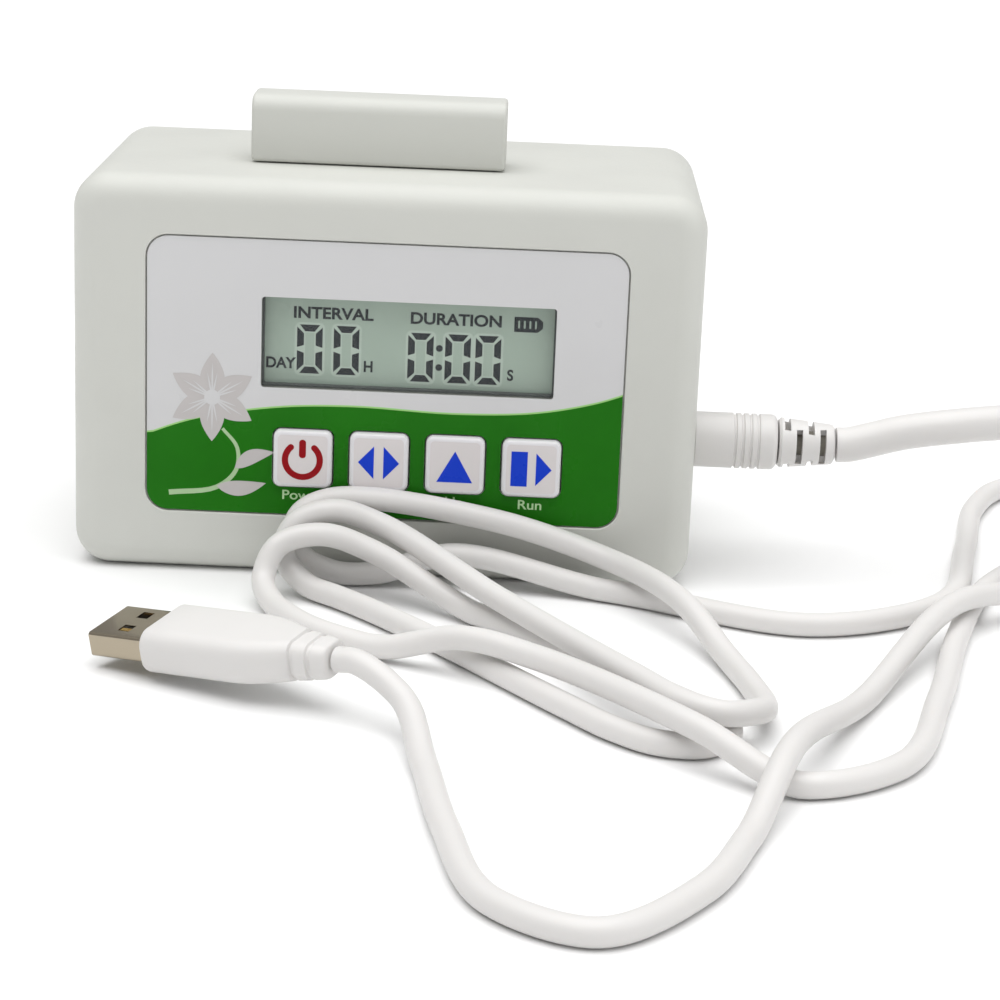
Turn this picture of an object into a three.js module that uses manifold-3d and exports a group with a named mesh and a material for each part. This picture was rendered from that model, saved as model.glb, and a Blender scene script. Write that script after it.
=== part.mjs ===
// Drip irrigation timer: a bench-top controller with a built-in pump, fed by four AA cells or by
// a USB power lead. Millimetres, +Z up, +X to the right of the control panel, the panel faces -Y.
// The origin is the middle of the underside.

import * as THREE from "three";
import { mergeVertices } from "three/addons/utils/BufferGeometryUtils.js";
import Module from "manifold-3d";

const wasm = await Module();
wasm.setup();

// ---------------------------------------------------------------- driving dimensions
const CASE_WIDTH = 118;
const CASE_HEIGHT = 76;
const FRONT_Y = -31;            // front face of the case
const REAR_Y = 32;              // rear face of the case
const CASE_CORNER = 7;          // corner radius seen from the front
const CASE_EDGE = 5;            // rounding of the front and rear edges
const WALL = 2.2;
const FRONT_WALL = 3.2;
const GAP = 0.3;                // running gap between neighbouring pieces
const PARTING_Y = 28;           // the tub-shaped front shell ends here, the rear cover closes it

const LABEL = { width: 89.4, height: 52.8, corner: 4, x: 0, z: 38.7, thickness: 0.4, recess: 1 };
const DISPLAY = { width: 55, height: 17.4, x: 4.2, z: 45.6 };
const KEY = { size: 11.1, corner: 1.4, z: 23.5, firstX: -15.1, pitch: 14.4, proud: 1, travel: 0.5 };
const KEY_NAMES = ["power", "setting", "increase", "start"];
const BOARD = { x0: -43, x1: 47, z0: 9, z1: 66, y: -20, thickness: 1.6 };
const LENS_POCKET = 1.2;        // depth of the display window's pocket behind the label

const PORT_BLOCK = { x0: -27.8, x1: 20.7, y0: -11.3, depth: 10.6, height: 12.9, edge: 3 };
const BARB = { bore: 1.3, radius: 2.3, rib: 2.8, length: 12, z: 82.5 };
const BARB_X = [-13.5, 6.5];    // inlet, outlet

const PUMP = { y: -3, z: 50, motorX: -14, motorRadius: 12, motorLength: 30, square: 26 };

const CELL = { radius: 7.1, length: 50, pitch: 15.2, y: 19.6, z0: 12.5 };
const DOOR = { width: 66, height: 60, corner: 1.5, z0: 8, thickness: 2.2, edge: 1.05 };

const JACK = { y: -13, z: 25.8, bore: 3.15, pin: 1, nose: 4 };
const PLUG = { face: 59.4, radius: 5.4, bodyEnd: 75.6, reliefEnd: 86.8, reliefStart: 4.9, reliefTip: 3.9 };
const BOOT_RADIUS = 3.4;        // soft sleeve over the cable's first stretch
const BOOT_ROUTE = [
  [87.2, -13, 25.8], [89.5, -13, 25.9], [94, -13, 27.1], [100, -13, 28.8], [112, -13, 30.8],
  [123, -12.5, 32],
];
const CABLE_RADIUS = 2.2;
const CABLE_REST_Z = 2.25;      // centre line of the cable where it lies on the ground
const CABLE_STEPS = 84;
const USB = { x: -33.4, y: -86, z: 6.2, yaw: -28, pitch: -5.5, roll: 8 };   // degrees
const USB_SHELL = { width: 12, height: 4.5, length: 11.6, wall: 0.3 };
const USB_BODY_LENGTH = 34.6;

// Centre line of the power cable, from the DC plug's boot to the USB plug. It leaves the boot to
// the right, comes down beyond the case, returns in a loose bundle of loops that leans on the
// foot of the front face, and ends in one wide loop on the ground.
const CABLE_ROUTE = [
  [123.3, -12.5, 32], [135, -10.5, 32.3], [147, -3, 27], [155, 11, 15], [157, 27, 5.4],
  [153, 42, 2.25], [142, 50, 2.25], [130, 43, 2.25], [122, 27, 2.25], [116, -2, 2.25],
  [106, -38, 2.25], [80, -53, 2.25], [42, -38, 2.3], [14.3, -34.4, 6.8], [-0.5, -35.1, 2.7],
  [-9, -35.6, 2.9], [-15.5, -35.8, 6.8], [-15.5, -34.8, 13], [-9, -33.8, 16.6], [21.2, -33.8, 13.8],
  [43, -36.5, 8], [56, -55, 6.9], [63.5, -72, 2.8], [67.5, -87, 2.25], [68.8, -98.5, 3.2],
  [66.6, -108, 5.8], [60.8, -112.5, 7], [54.5, -109, 7.3], [47, -98, 7.3], [23, -60, 7.2],
  [0.5, -38.6, 13.4], [-8.5, -38.6, 15.8], [-15.5, -39.6, 13.2], [-17.5, -40.8, 7.6],
  [-13.5, -43.8, 3.2], [-5.5, -50, 2.25], [10.7, -68, 2.25], [36, -100.5, 2.25], [43.5, -109.5, 2.25],
  [50.5, -114.7, 2.25], [57.8, -115, 2.25], [62.3, -109.3, 2.25], [60.5, -102, 2.25],
  [53.5, -93, 2.25], [18.6, -54.5, 2.25], [-0.5, -43.6, 9.6], [-10, -43.8, 12.6], [-18, -45, 10.6],
  [-20.5, -48.2, 5], [-17.5, -55.5, 2.25], [-9.5, -67, 2.25], [3.4, -76, 2.6], [16.9, -81.5, 6.9],
  [30.2, -90, 7], [56, -119, 7], [72, -130, 2.3], [89, -120, 2.25], [99.5, -88, 2.25],
  [107, -56, 2.25], [117, -26, 2.25], [136, -1, 2.25], [149, 6, 2.25], [160, 1.5, 2.25],
  [162.5, -9.5, 2.25], [153, -18.5, 2.25], [132, -28, 2.25], [108, -50, 7.2], [86, -92, 2.6],
  [71, -127, 7.8], [63, -150, 2.25], [55, -170, 2.25], [40, -185.5, 2.25], [25, -177, 2.25],
  [17.5, -152, 2.25], [13, -127, 2.4], [8.8, -111, 6.5], [1, -104.3, 9.9], [-2.5, -102.4, 9.6],
];

// ---------------------------------------------------------------- finishes
const CASE_WHITE = { color: 0xd9dcd4, roughness: 0.5, metalness: 0 };
const KEY_WHITE = { color: 0xe0e0e6, roughness: 0.4, metalness: 0 };
const LABEL_GREEN = { color: 0x2a8a1f, roughness: 0.35, metalness: 0 };
const CLEAR_LENS = { color: 0xc8d4cc, roughness: 0.1, metalness: 0 };
const LCD_GLASS = { color: 0xa5b9aa, roughness: 0.25, metalness: 0 };
const BOARD_GREEN = { color: 0x1f5c34, roughness: 0.6, metalness: 0 };
const BLACK_PLASTIC = { color: 0x1c1c1e, roughness: 0.5, metalness: 0 };
const DARK_RUBBER = { color: 0x2b2b2d, roughness: 0.9, metalness: 0 };
const MOTOR_STEEL = { color: 0x9a9ca0, roughness: 0.35, metalness: 0.9 };
const NICKEL = { color: 0xb8b4ac, roughness: 0.28, metalness: 1 };
const SPRING_STEEL = { color: 0xa8a8a8, roughness: 0.35, metalness: 1 };
const PUMP_PLASTIC = { color: 0xe6e4dc, roughness: 0.45, metalness: 0 };
const SILICONE = { color: 0xdfe5e6, roughness: 0.35, metalness: 0 };
const CELL_SLEEVE = { color: 0x2f6fa8, roughness: 0.35, metalness: 0.2 };
const LEAD_WHITE = { color: 0xdedcda, roughness: 0.5, metalness: 0 };
const WIRE_RED = { color: 0xa02020, roughness: 0.5, metalness: 0 };
const SCREW_STEEL = { color: 0x8c8c8c, roughness: 0.35, metalness: 1 };

const group = new THREE.Group();

// ---------------------------------------------------------------- shape helpers
function toSolid(geometry) {
  const plain = geometry.clone();
  plain.deleteAttribute("normal");
  plain.deleteAttribute("uv");
  const merged = mergeVertices(plain, 1e-4);
  return new wasm.Manifold(new wasm.Mesh({
    numProp: 3,
    vertProperties: new Float32Array(merged.attributes.position.array),
    triVerts: new Uint32Array(merged.index.array),
  }));
}

function toGeometry(solid) {
  const cut = solid.getMesh();
  const geometry = new THREE.BufferGeometry();
  geometry.setAttribute("position", new THREE.BufferAttribute(new Float32Array(cut.vertProperties), 3));
  geometry.setIndex(new THREE.BufferAttribute(new Uint32Array(cut.triVerts), 1));
  geometry.computeVertexNormals();
  return geometry;
}

function addPiece(name, solid, finish, parent = group) {
  const mesh = new THREE.Mesh(toGeometry(solid), new THREE.MeshStandardMaterial(finish));
  mesh.name = name;
  parent.add(mesh);
  return mesh;
}

function block(x0, x1, y0, y1, z0, z1) {
  const geometry = new THREE.BoxGeometry(x1 - x0, y1 - y0, z1 - z0);
  geometry.translate((x0 + x1) / 2, (y0 + y1) / 2, (z0 + z1) / 2);
  return toSolid(geometry);
}

// A round bar along X, Y or Z from `from` to `to`. The centre is given by the other two
// coordinates in the order X, Y, Z; endRadius tapers the bar.
function bar(axis, radius, from, to, first, second, sides = 16, endRadius = radius) {
  const geometry = new THREE.CylinderGeometry(endRadius, radius, to - from, sides);
  const middle = (from + to) / 2;
  if (axis === "x") {
    geometry.rotateZ(-Math.PI / 2);
    geometry.translate(middle, first, second);
  } else if (axis === "y") {
    geometry.translate(first, middle, second);
  } else {
    geometry.rotateX(Math.PI / 2);
    geometry.translate(first, second, middle);
  }
  return toSolid(geometry);
}

function roundedRectangle(width, height, corner) {
  const shape = new THREE.Shape();
  const x = width / 2;
  const y = height / 2;
  shape.moveTo(-x + corner, -y);
  shape.lineTo(x - corner, -y);
  shape.absarc(x - corner, -y + corner, corner, -Math.PI / 2, 0);
  shape.lineTo(x, y - corner);
  shape.absarc(x - corner, y - corner, corner, 0, Math.PI / 2);
  shape.lineTo(-x + corner, y);
  shape.absarc(-x + corner, y - corner, corner, Math.PI / 2, Math.PI);
  shape.lineTo(-x, -y + corner);
  shape.absarc(-x + corner, -y + corner, corner, Math.PI, 1.5 * Math.PI);
  return shape;
}

// A rounded rectangle in the XZ plane, extruded from y0 to y1, with rounded ends if edge > 0.
function plate(width, height, corner, x, z, y0, y1, edge = 0, segments = 4) {
  const geometry = new THREE.ExtrudeGeometry(roundedRectangle(width, height, corner), {
    depth: y1 - y0 - 2 * edge,
    bevelEnabled: edge > 0,
    bevelThickness: edge,
    bevelSize: edge,
    bevelOffset: -edge,
    bevelSegments: segments,
    curveSegments: segments,
  });
  geometry.rotateX(Math.PI / 2);
  geometry.translate(x, y1 - edge, z);
  return toSolid(geometry);
}

function turned(points, sides) {
  const outline = points.map(([radius, height]) => new THREE.Vector2(radius, height));
  return new THREE.LatheGeometry(outline, sides);
}

function joined(solids) {
  return solids.reduce((whole, piece) => whole.add(piece));
}

function without(solid, cutters) {
  return cutters.reduce((rest, cutter) => rest.subtract(cutter), solid);
}

function keyX(index) {
  return KEY.firstX + index * KEY.pitch;
}

// ---------------------------------------------------------------- case
const INSIDE_X = CASE_WIDTH / 2 - WALL;
const FRONT_INSIDE_Y = FRONT_Y + FRONT_WALL;
const SCREWS = [[-50, 10], [50, 10], [-50, 66], [50, 66]];
const PORT_Y = PORT_BLOCK.y0 + PORT_BLOCK.depth / 2;
const PORT_BACK_Y = PORT_BLOCK.y0 + PORT_BLOCK.depth;

function caseOutside() {
  return plate(CASE_WIDTH, CASE_HEIGHT, CASE_CORNER, 0, CASE_HEIGHT / 2, FRONT_Y, REAR_Y, CASE_EDGE, 5);
}

function keyHole(index, y0, y1) {
  const size = KEY.size + 2 * GAP;
  return plate(size, size, KEY.corner + GAP, keyX(index), KEY.z, y0, y1, 0, 2);
}

function displayHole(y0, y1) {
  return plate(DISPLAY.width, DISPLAY.height, 0.8, DISPLAY.x, DISPLAY.z, y0, y1, 0, 2);
}

function buildFrontShell() {
  const inside = plate(
    CASE_WIDTH - 2 * WALL, CASE_HEIGHT - 2 * WALL, CASE_CORNER - WALL,
    0, CASE_HEIGHT / 2, FRONT_INSIDE_Y, REAR_Y + 1,
  );
  const bosses = SCREWS.map(([x, z]) => bar("y", 3.4, FRONT_INSIDE_Y - 0.5, PARTING_Y - GAP, x, z, 12));
  const pilotHoles = SCREWS.map(([x, z]) => bar("y", 1.5, 12, PARTING_Y + 1, x, z, 10));
  const recess = plate(
    LABEL.width + 2 * GAP, LABEL.height + 2 * GAP, LABEL.corner + GAP,
    LABEL.x, LABEL.z, FRONT_Y - 1, FRONT_Y + LABEL.recess,
  );
  const lensPocket = plate(
    DISPLAY.width + 4, DISPLAY.height + 3.6, 1.6, DISPLAY.x, DISPLAY.z,
    FRONT_Y, FRONT_Y + LABEL.recess + LENS_POCKET, 0, 2,
  );
  const pumpPedestal = block(-6, 8, -9, 3, WALL - 0.5, PUMP.z - 17 - GAP);
  const shell = caseOutside()
    .subtract(block(-80, 80, PARTING_Y, REAR_Y + 5, -5, CASE_HEIGHT + 5))
    .subtract(inside)
    .add(joined([...bosses, pumpPedestal]));
  const portHoles = BARB_X.map((x) => bar("z", 3.6, CASE_HEIGHT - 8, CASE_HEIGHT + 1, x, PORT_Y, 12));
  return without(shell, [
    ...pilotHoles,
    ...portHoles,
    recess,
    lensPocket,
    displayHole(FRONT_Y - 1, FRONT_INSIDE_Y + 1),
    ...KEY_NAMES.map((_, index) => keyHole(index, FRONT_Y - 1, FRONT_INSIDE_Y + 1)),
    bar("x", JACK.nose + GAP, INSIDE_X - 1, CASE_WIDTH / 2 + 1, JACK.y, JACK.z, 20),
  ]);
}

// The rear cover carries the battery bay: a moulded box that opens to the rear.
const BAY = { x0: -33, x1: 33, y0: 10.6, z0: 8.2, z1: 67.8, wall: 1.6 };
const DOOR_Z = DOOR.z0 + DOOR.height / 2;

function buildRearCover() {
  const cover = caseOutside().subtract(block(-80, 80, -60, PARTING_Y + GAP, -5, CASE_HEIGHT + 5));
  const bay = block(
    BAY.x0 - BAY.wall, BAY.x1 + BAY.wall, BAY.y0, PARTING_Y + 1,
    BAY.z0 - BAY.wall + 0.2, BAY.z1 + BAY.wall - 0.2,
  );
  const bayInside = block(BAY.x0, BAY.x1, BAY.y0 + BAY.wall, REAR_Y + 5, BAY.z0 + 0.2, BAY.z1 - 0.2);
  const doorPocket = plate(
    DOOR.width + 2 * GAP, DOOR.height + 2 * GAP, DOOR.corner + GAP, 0, DOOR_Z,
    REAR_Y - DOOR.thickness - GAP, REAR_Y + 1,
  );
  const counterbores = SCREWS.map(([x, z]) => bar("y", 3, REAR_Y - 2.4, REAR_Y + 1, x, z, 12));
  const screwHoles = SCREWS.map(([x, z]) => bar("y", 1.9, PARTING_Y - 1, REAR_Y, x, z, 10));
  const fingerNotch = bar("y", 7, REAR_Y - 1.4, REAR_Y + 1, 0, DOOR.z0 + DOOR.height + 1, 16);
  return without(cover.add(bay), [bayInside, doorPocket, ...counterbores, ...screwHoles, fingerNotch]);
}

// The door's lower edge is half round, so that it turns in its pocket without touching the cover.
function buildBatteryDoor() {
  const panel = plate(
    DOOR.width, DOOR.height, DOOR.corner, 0, DOOR_Z, REAR_Y - DOOR.thickness, REAR_Y, DOOR.edge, 4,
  );
  const latch = block(-6, 6, REAR_Y - DOOR.thickness - 2.2, REAR_Y - DOOR.thickness + 0.4, 63.5, 64.7);
  return panel.add(latch);
}

function buildScrew(x, z) {
  const head = bar("y", 2.6, REAR_Y - 2.1, REAR_Y - 0.3, x, z, 12);
  const shank = bar("y", 1.2, 14, REAR_Y - 2, x, z, 8);
  const slot = [block(x - 1.5, x + 1.5, REAR_Y - 1.2, REAR_Y, z - 0.3, z + 0.3),
    block(x - 0.3, x + 0.3, REAR_Y - 1.2, REAR_Y, z - 1.5, z + 1.5)];
  return without(head.add(shank), slot);
}

function buildCase() {
  addPiece("front_shell", buildFrontShell(), CASE_WHITE);
  addPiece("rear_cover", buildRearCover(), CASE_WHITE);
  addPiece("battery_door", buildBatteryDoor(), CASE_WHITE);
  SCREWS.forEach(([x, z], index) => addPiece(`case_screw_${index + 1}`, buildScrew(x, z), SCREW_STEEL));
}

// ---------------------------------------------------------------- control panel
const BOARD_BACK_Y = BOARD.y + BOARD.thickness;
const PLUNGER_Y = BOARD.y - 5.3;   // front end of a push switch's plunger

function buildLabel() {
  const y1 = FRONT_Y + LABEL.recess - GAP;
  const y0 = y1 - LABEL.thickness;
  return without(plate(LABEL.width, LABEL.height, LABEL.corner, LABEL.x, LABEL.z, y0, y1), [
    displayHole(y0 - 1, y1 + 1),
    ...KEY_NAMES.map((_, index) => keyHole(index, y0 - 1, y1 + 1)),
  ]);
}

function buildWindow() {
  const y0 = FRONT_Y + LABEL.recess + 0.2;
  return plate(DISPLAY.width + 3.2, DISPLAY.height + 2.8, 1.2, DISPLAY.x, DISPLAY.z, y0, y0 + 0.7, 0, 2);
}

function buildDisplayGlass() {
  const y0 = FRONT_INSIDE_Y + GAP;
  return block(DISPLAY.x - 31, DISPLAY.x + 31, y0, y0 + 2.6, DISPLAY.z - 12.5, DISPLAY.z + 12.5);
}

// A clip-in frame that carries the display glass and stands on the board.
function buildDisplayFrame() {
  const y0 = FRONT_INSIDE_Y + 2.6 + 2 * GAP;
  const y1 = BOARD.y - GAP;
  const { x, z } = DISPLAY;
  const ring = block(x - 31, x + 31, y0, y1, z - 12.5, z + 12.5);
  return ring.subtract(block(x - 28.5, x + 28.5, y0 - 1, y1 + 1, z - 10, z + 10));
}

function buildBoard() {
  const board = block(BOARD.x0, BOARD.x1, BOARD.y, BOARD_BACK_Y, BOARD.z0, BOARD.z1);
  const driverChip = block(-30, -22, BOARD_BACK_Y - 0.2, BOARD_BACK_Y + 1.6, 16, 21);
  const controller = block(-12, -1, BOARD_BACK_Y - 0.2, BOARD_BACK_Y + 1.8, 24, 35);
  const capacitor = bar("y", 3.2, BOARD_BACK_Y - 0.2, BOARD_BACK_Y + 8, 12, 16, 12);
  const notches = SCREWS.map(([x, z]) => bar("y", 4.2, BOARD.y - 1, BOARD_BACK_Y + 1, x, z, 12));
  return without(joined([board, driverChip, controller, capacitor]), notches);
}

function buildKey(index) {
  const x = keyX(index);
  const flangeY = FRONT_INSIDE_Y + GAP;
  const cap = plate(KEY.size, KEY.size, KEY.corner, x, KEY.z, FRONT_Y - KEY.proud, flangeY + 1.4, 0.7, 2);
  const flange = plate(KEY.size + 2.2, KEY.size + 2.2, KEY.corner, x, KEY.z, flangeY, flangeY + 1, 0, 2);
  const stem = bar("y", 1.7, flangeY + 0.5, PLUNGER_Y - KEY.travel - 0.1, x, KEY.z, 10);
  return joined([cap, flange, stem]);
}

function buildSwitch(index) {
  const x = keyX(index);
  const body = block(x - 3, x + 3, BOARD.y - 3.8, BOARD.y - GAP, KEY.z - 3, KEY.z + 3);
  const plunger = bar("y", 1.7, PLUNGER_Y, BOARD.y - 3.5, x, KEY.z, 10);
  return body.add(plunger);
}

function buildPanel() {
  addPiece("front_label", buildLabel(), LABEL_GREEN);
  addPiece("display_window", buildWindow(), CLEAR_LENS);
  addPiece("display_glass", buildDisplayGlass(), LCD_GLASS);
  addPiece("display_frame", buildDisplayFrame(), BLACK_PLASTIC);
  addPiece("control_board", buildBoard(), BOARD_GREEN);
  KEY_NAMES.forEach((name, index) => {
    addPiece(`key_${name}`, buildKey(index), KEY_WHITE);
    addPiece(`switch_${name}`, buildSwitch(index), BLACK_PLASTIC);
  });
}

// ---------------------------------------------------------------- hose ports on top
function buildPortBlock() {
  const { x0, x1, y0, depth, height, edge } = PORT_BLOCK;
  const z0 = CASE_HEIGHT + GAP;
  const z1 = CASE_HEIGHT + height;
  const side = new THREE.Shape();
  side.moveTo(y0, z0);
  side.lineTo(y0 + depth, z0);
  side.lineTo(y0 + depth, z1 - 1);
  side.absarc(y0 + depth - 1, z1 - 1, 1, 0, Math.PI / 2);
  side.absarc(y0 + edge, z1 - edge, edge, Math.PI / 2, Math.PI);
  side.closePath();
  const geometry = new THREE.ExtrudeGeometry(side, {
    depth: x1 - x0, bevelEnabled: false, curveSegments: 5,
  });
  geometry.rotateX(Math.PI / 2);
  geometry.rotateZ(Math.PI / 2);
  geometry.translate(x0, 0, 0);
  const spigots = BARB_X.map((x) => bar("z", 3.2, CASE_HEIGHT - 6, z0 + 1, x, PORT_Y, 14));
  const rising = BARB_X.map((x) => bar("z", BARB.bore, CASE_HEIGHT - 7, BARB.z + BARB.bore, x, PORT_Y, 10));
  const leading = BARB_X.map((x) => bar("y", BARB.bore, PORT_Y, PORT_BACK_Y + 1, x, BARB.z, 10));
  const sockets = BARB_X.map((x) => bar(
    "y", BARB.radius + GAP, PORT_BACK_Y - 3, PORT_BACK_Y + 1, x, BARB.z, 14,
  ));
  return without(joined([toSolid(geometry), ...spigots]), [...rising, ...leading, ...sockets]);
}

function buildBarb(x) {
  const y0 = PORT_BACK_Y - 2.7;
  const y1 = PORT_BACK_Y + BARB.length;
  const stem = bar("y", BARB.radius, y0, y1, x, BARB.z, 14);
  const collar = bar("y", BARB.rib + 0.6, PORT_BACK_Y + GAP, PORT_BACK_Y + 1.6, x, BARB.z, 14);
  const ribs = [4, 7, 10].map((step) => bar(
    "y", BARB.rib, PORT_BACK_Y + step - 0.4, PORT_BACK_Y + step + 1.4, x, BARB.z, 14, BARB.radius - 0.1,
  ));
  const bore = bar("y", BARB.bore, y0 - 1, y1 + 1, x, BARB.z, 10);
  return joined([stem, collar, ...ribs]).subtract(bore);
}

// ---------------------------------------------------------------- pump
function squareSlab(x0, x1, size = PUMP.square) {
  const half = size / 2;
  return block(x0, x1, PUMP.y - half, PUMP.y + half, PUMP.z - half, PUMP.z + half);
}

function pumpBar(radius, x0, x1, sides = 16) {
  return bar("x", radius, x0, x1, PUMP.y, PUMP.z, sides);
}

const PUMP_HOUSING_LENGTH = 11;
const MOTOR_X0 = PUMP.motorX;
const MOTOR_X1 = PUMP.motorX + PUMP.motorLength;
const HOUSING_X0 = MOTOR_X0 - GAP - PUMP_HOUSING_LENGTH;

function buildPump() {
  const can = without(pumpBar(PUMP.motorRadius, MOTOR_X0, MOTOR_X1, 24), [
    pumpBar(PUMP.motorRadius - 1.2, MOTOR_X0 + 1.5, MOTOR_X1 + 1, 24),
    pumpBar(1.4, MOTOR_X0 - 1, MOTOR_X0 + 3, 12),
  ]);
  addPiece("motor_can", can, MOTOR_STEEL);

  const cap = without(pumpBar(PUMP.motorRadius - 1.5, MOTOR_X1 - 3, MOTOR_X1 + 1, 24), [
    pumpBar(1.4, MOTOR_X1 - 4, MOTOR_X1 + 2, 12),
  ]);
  addPiece("motor_end_cap", cap, BLACK_PLASTIC);

  const rotor = joined([
    pumpBar(1.1, HOUSING_X0 + 3.2, MOTOR_X1 + 1.6, 12),
    pumpBar(8.4, MOTOR_X0 + 4, MOTOR_X1 - 8, 18),
    pumpBar(3.2, MOTOR_X1 - 7.5, MOTOR_X1 - 4, 12),
    pumpBar(4.6, HOUSING_X0 + 5, HOUSING_X0 + 9.5, 14),
    bar("x", 1.2, HOUSING_X0 + 3, HOUSING_X0 + 5.5, PUMP.y, PUMP.z + 2.6, 8),
  ]);
  addPiece("pump_rotor", rotor, MOTOR_STEEL);

  const housing = without(squareSlab(HOUSING_X0, MOTOR_X0 - GAP), [
    pumpBar(9.5, HOUSING_X0 - 1, HOUSING_X0 + 9.9, 20),
    pumpBar(3.4, HOUSING_X0, MOTOR_X0, 14),
  ]);
  addPiece("pump_housing", housing, PUMP_PLASTIC);

  const wobble = joined([
    pumpBar(7.6, HOUSING_X0 + 0.4, HOUSING_X0 + 2.4, 16),
    pumpBar(2, HOUSING_X0 + 0.4, HOUSING_X0 + 2.7, 10),
  ]);
  addPiece("pump_wobble_plate", wobble, BLACK_PLASTIC);

  const diaphragmX = HOUSING_X0 - GAP - 1.6;
  const diaphragm = squareSlab(diaphragmX, diaphragmX + 1.6, PUMP.square - 1.4);
  addPiece("pump_diaphragm", diaphragm, DARK_RUBBER);

  const valveX = diaphragmX - GAP - 3.4;
  const chambers = [0, 1, 2].map((step) => {
    const angle = step * 2 * Math.PI / 3;
    const y = PUMP.y + 6.4 * Math.cos(angle);
    const z = PUMP.z + 6.4 * Math.sin(angle);
    return bar("x", 3.4, valveX + 1.4, valveX + 4, y, z, 12);
  });
  addPiece("pump_valve_plate", without(squareSlab(valveX, valveX + 3.4), chambers), PUMP_PLASTIC);

  const coverX = valveX - GAP - 5;
  const ports = pumpPorts(coverX);
  const cover = without(joined([squareSlab(coverX, valveX - GAP), ...ports.stems]), ports.bores);
  addPiece("pump_cover", cover, PUMP_PLASTIC);

  const saddle = without(
    block(MOTOR_X0 + 6, MOTOR_X1 - 6, PUMP.y - 9, PUMP.y + 9, PUMP.z - 17, PUMP.z - 5),
    [pumpBar(PUMP.motorRadius + GAP, MOTOR_X0, MOTOR_X1, 24)],
  );
  addPiece("pump_saddle", saddle, DARK_RUBBER);
}

// The pump's two hose stubs stand out of the cover, one above the other, along -X.
const PORT_STUB = 5;
const PUMP_COVER_X = HOUSING_X0 - 3 * GAP - 1.6 - 3.4 - 5;

function pumpPorts(coverX) {
  const places = [PUMP.z + 6.5, PUMP.z - 6.5];
  return {
    stems: places.map((z) => bar("x", 2.2, coverX - PORT_STUB, coverX + 1, PUMP.y, z, 12)),
    bores: places.map((z) => bar("x", 1.2, coverX - PORT_STUB - 1, coverX + 8, PUMP.y, z, 10)),
  };
}

function smoothPath(points) {
  const places = points.map((point) => new THREE.Vector3(...point));
  return new THREE.CatmullRomCurve3(places, false, "centripetal");
}

function hose(points) {
  const section = new THREE.Shape();
  section.absarc(0, 0, 2.1, 0, 2 * Math.PI);
  return toSolid(new THREE.ExtrudeGeometry(section, {
    steps: 14, extrudePath: smoothPath(points), curveSegments: 5,
  }));
}

function buildHoses() {
  const stubX = PUMP_COVER_X - PORT_STUB - 2 * GAP;
  const top = CASE_HEIGHT - 6 - GAP;
  const [inletX, outletX] = BARB_X;
  const low = PUMP.z - 6.5;
  const high = PUMP.z + 6.5;
  addPiece("inlet_hose", hose([
    [stubX, PUMP.y, low], [stubX - 3, PUMP.y, low], [stubX - 7, PUMP.y - 5, low + 4],
    [stubX - 6, PUMP.y - 10, low + 13], [stubX, PUMP.y - 10, high + 7.5],
    [stubX + 13, PUMP.y - 8, high + 9],
    [inletX - 4, PORT_Y - 2, high + 8.6], [inletX - 0.3, PORT_Y, high + 10], [inletX, PORT_Y, top],
  ]), SILICONE);
  addPiece("outlet_hose", hose([
    [stubX, PUMP.y, high], [stubX - 2, PUMP.y, high], [stubX - 3.6, PUMP.y + 1, high + 4.5],
    [stubX, PUMP.y + 3, high + 9.6], [stubX + 10, PUMP.y + 5, high + 10.4],
    [inletX + 4, PUMP.y + 6, high + 9.5], [outletX - 4, PUMP.y + 1, high + 8.6],
    [outletX - 0.3, PORT_Y, high + 10], [outletX, PORT_Y, top],
  ]), SILICONE);
}

// ---------------------------------------------------------------- battery bay
function cellX(index) {
  return (index - 1.5) * CELL.pitch;
}

// One AA cell standing upright; `up` is +1 with its plus end on top and -1 upside down.
function buildCell(index) {
  const up = index % 2 === 0 ? 1 : -1;
  const middle = CELL.z0 + CELL.length / 2;
  const geometry = turned([
    [0, -CELL.length / 2], [5.4, -CELL.length / 2], [5.4, -CELL.length / 2 + 0.4],
    [CELL.radius, -CELL.length / 2 + 0.8], [CELL.radius, CELL.length / 2 - 1.8],
    [5.4, CELL.length / 2 - 1.5], [2.7, CELL.length / 2 - 1.3], [2.7, CELL.length / 2],
    [0, CELL.length / 2],
  ], 18);
  geometry.rotateX(up * Math.PI / 2);
  geometry.translate(cellX(index), CELL.y, middle);
  return toSolid(geometry);
}

// A contact plate against the top (side = 1) or bottom (side = -1) wall of the bay, with a bump
// or a coned spring at each cell that it touches.
function buildContact(cells, side) {
  const wallZ = side > 0 ? BAY.z1 - 0.5 : BAY.z0 + 0.5;
  const cellEnd = side > 0 ? CELL.z0 + CELL.length : CELL.z0;
  const x0 = cellX(cells[0]) - 5;
  const x1 = cellX(cells[cells.length - 1]) + 5;
  const sheet = [wallZ, wallZ - side * 0.6].sort((a, b) => a - b);
  const bumps = cells.map((index) => {
    const touch = cellEnd + side * GAP;
    const span = [wallZ - side * 0.3, touch].sort((a, b) => a - b);
    const wide = 4.2;
    const narrow = 2.2;
    return bar(
      "z", side > 0 ? narrow : wide, span[0], span[1], cellX(index), CELL.y, 12, side > 0 ? wide : narrow,
    );
  });
  return joined([block(x0, x1, CELL.y - 5, CELL.y + 5, sheet[0], sheet[1]), ...bumps]);
}

function buildBatteryBay() {
  for (let index = 0; index < 4; index += 1) {
    addPiece(`battery_${index + 1}`, buildCell(index), CELL_SLEEVE);
  }
  addPiece("contact_first_pair", buildContact([0, 1], 1), SPRING_STEEL);
  addPiece("contact_second_pair", buildContact([2, 3], 1), SPRING_STEEL);
  addPiece("contact_middle_pair", buildContact([1, 2], -1), SPRING_STEEL);
  addPiece("contact_minus", buildContact([0], -1), SPRING_STEEL);
  addPiece("contact_plus", buildContact([3], -1), SPRING_STEEL);
}

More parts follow.
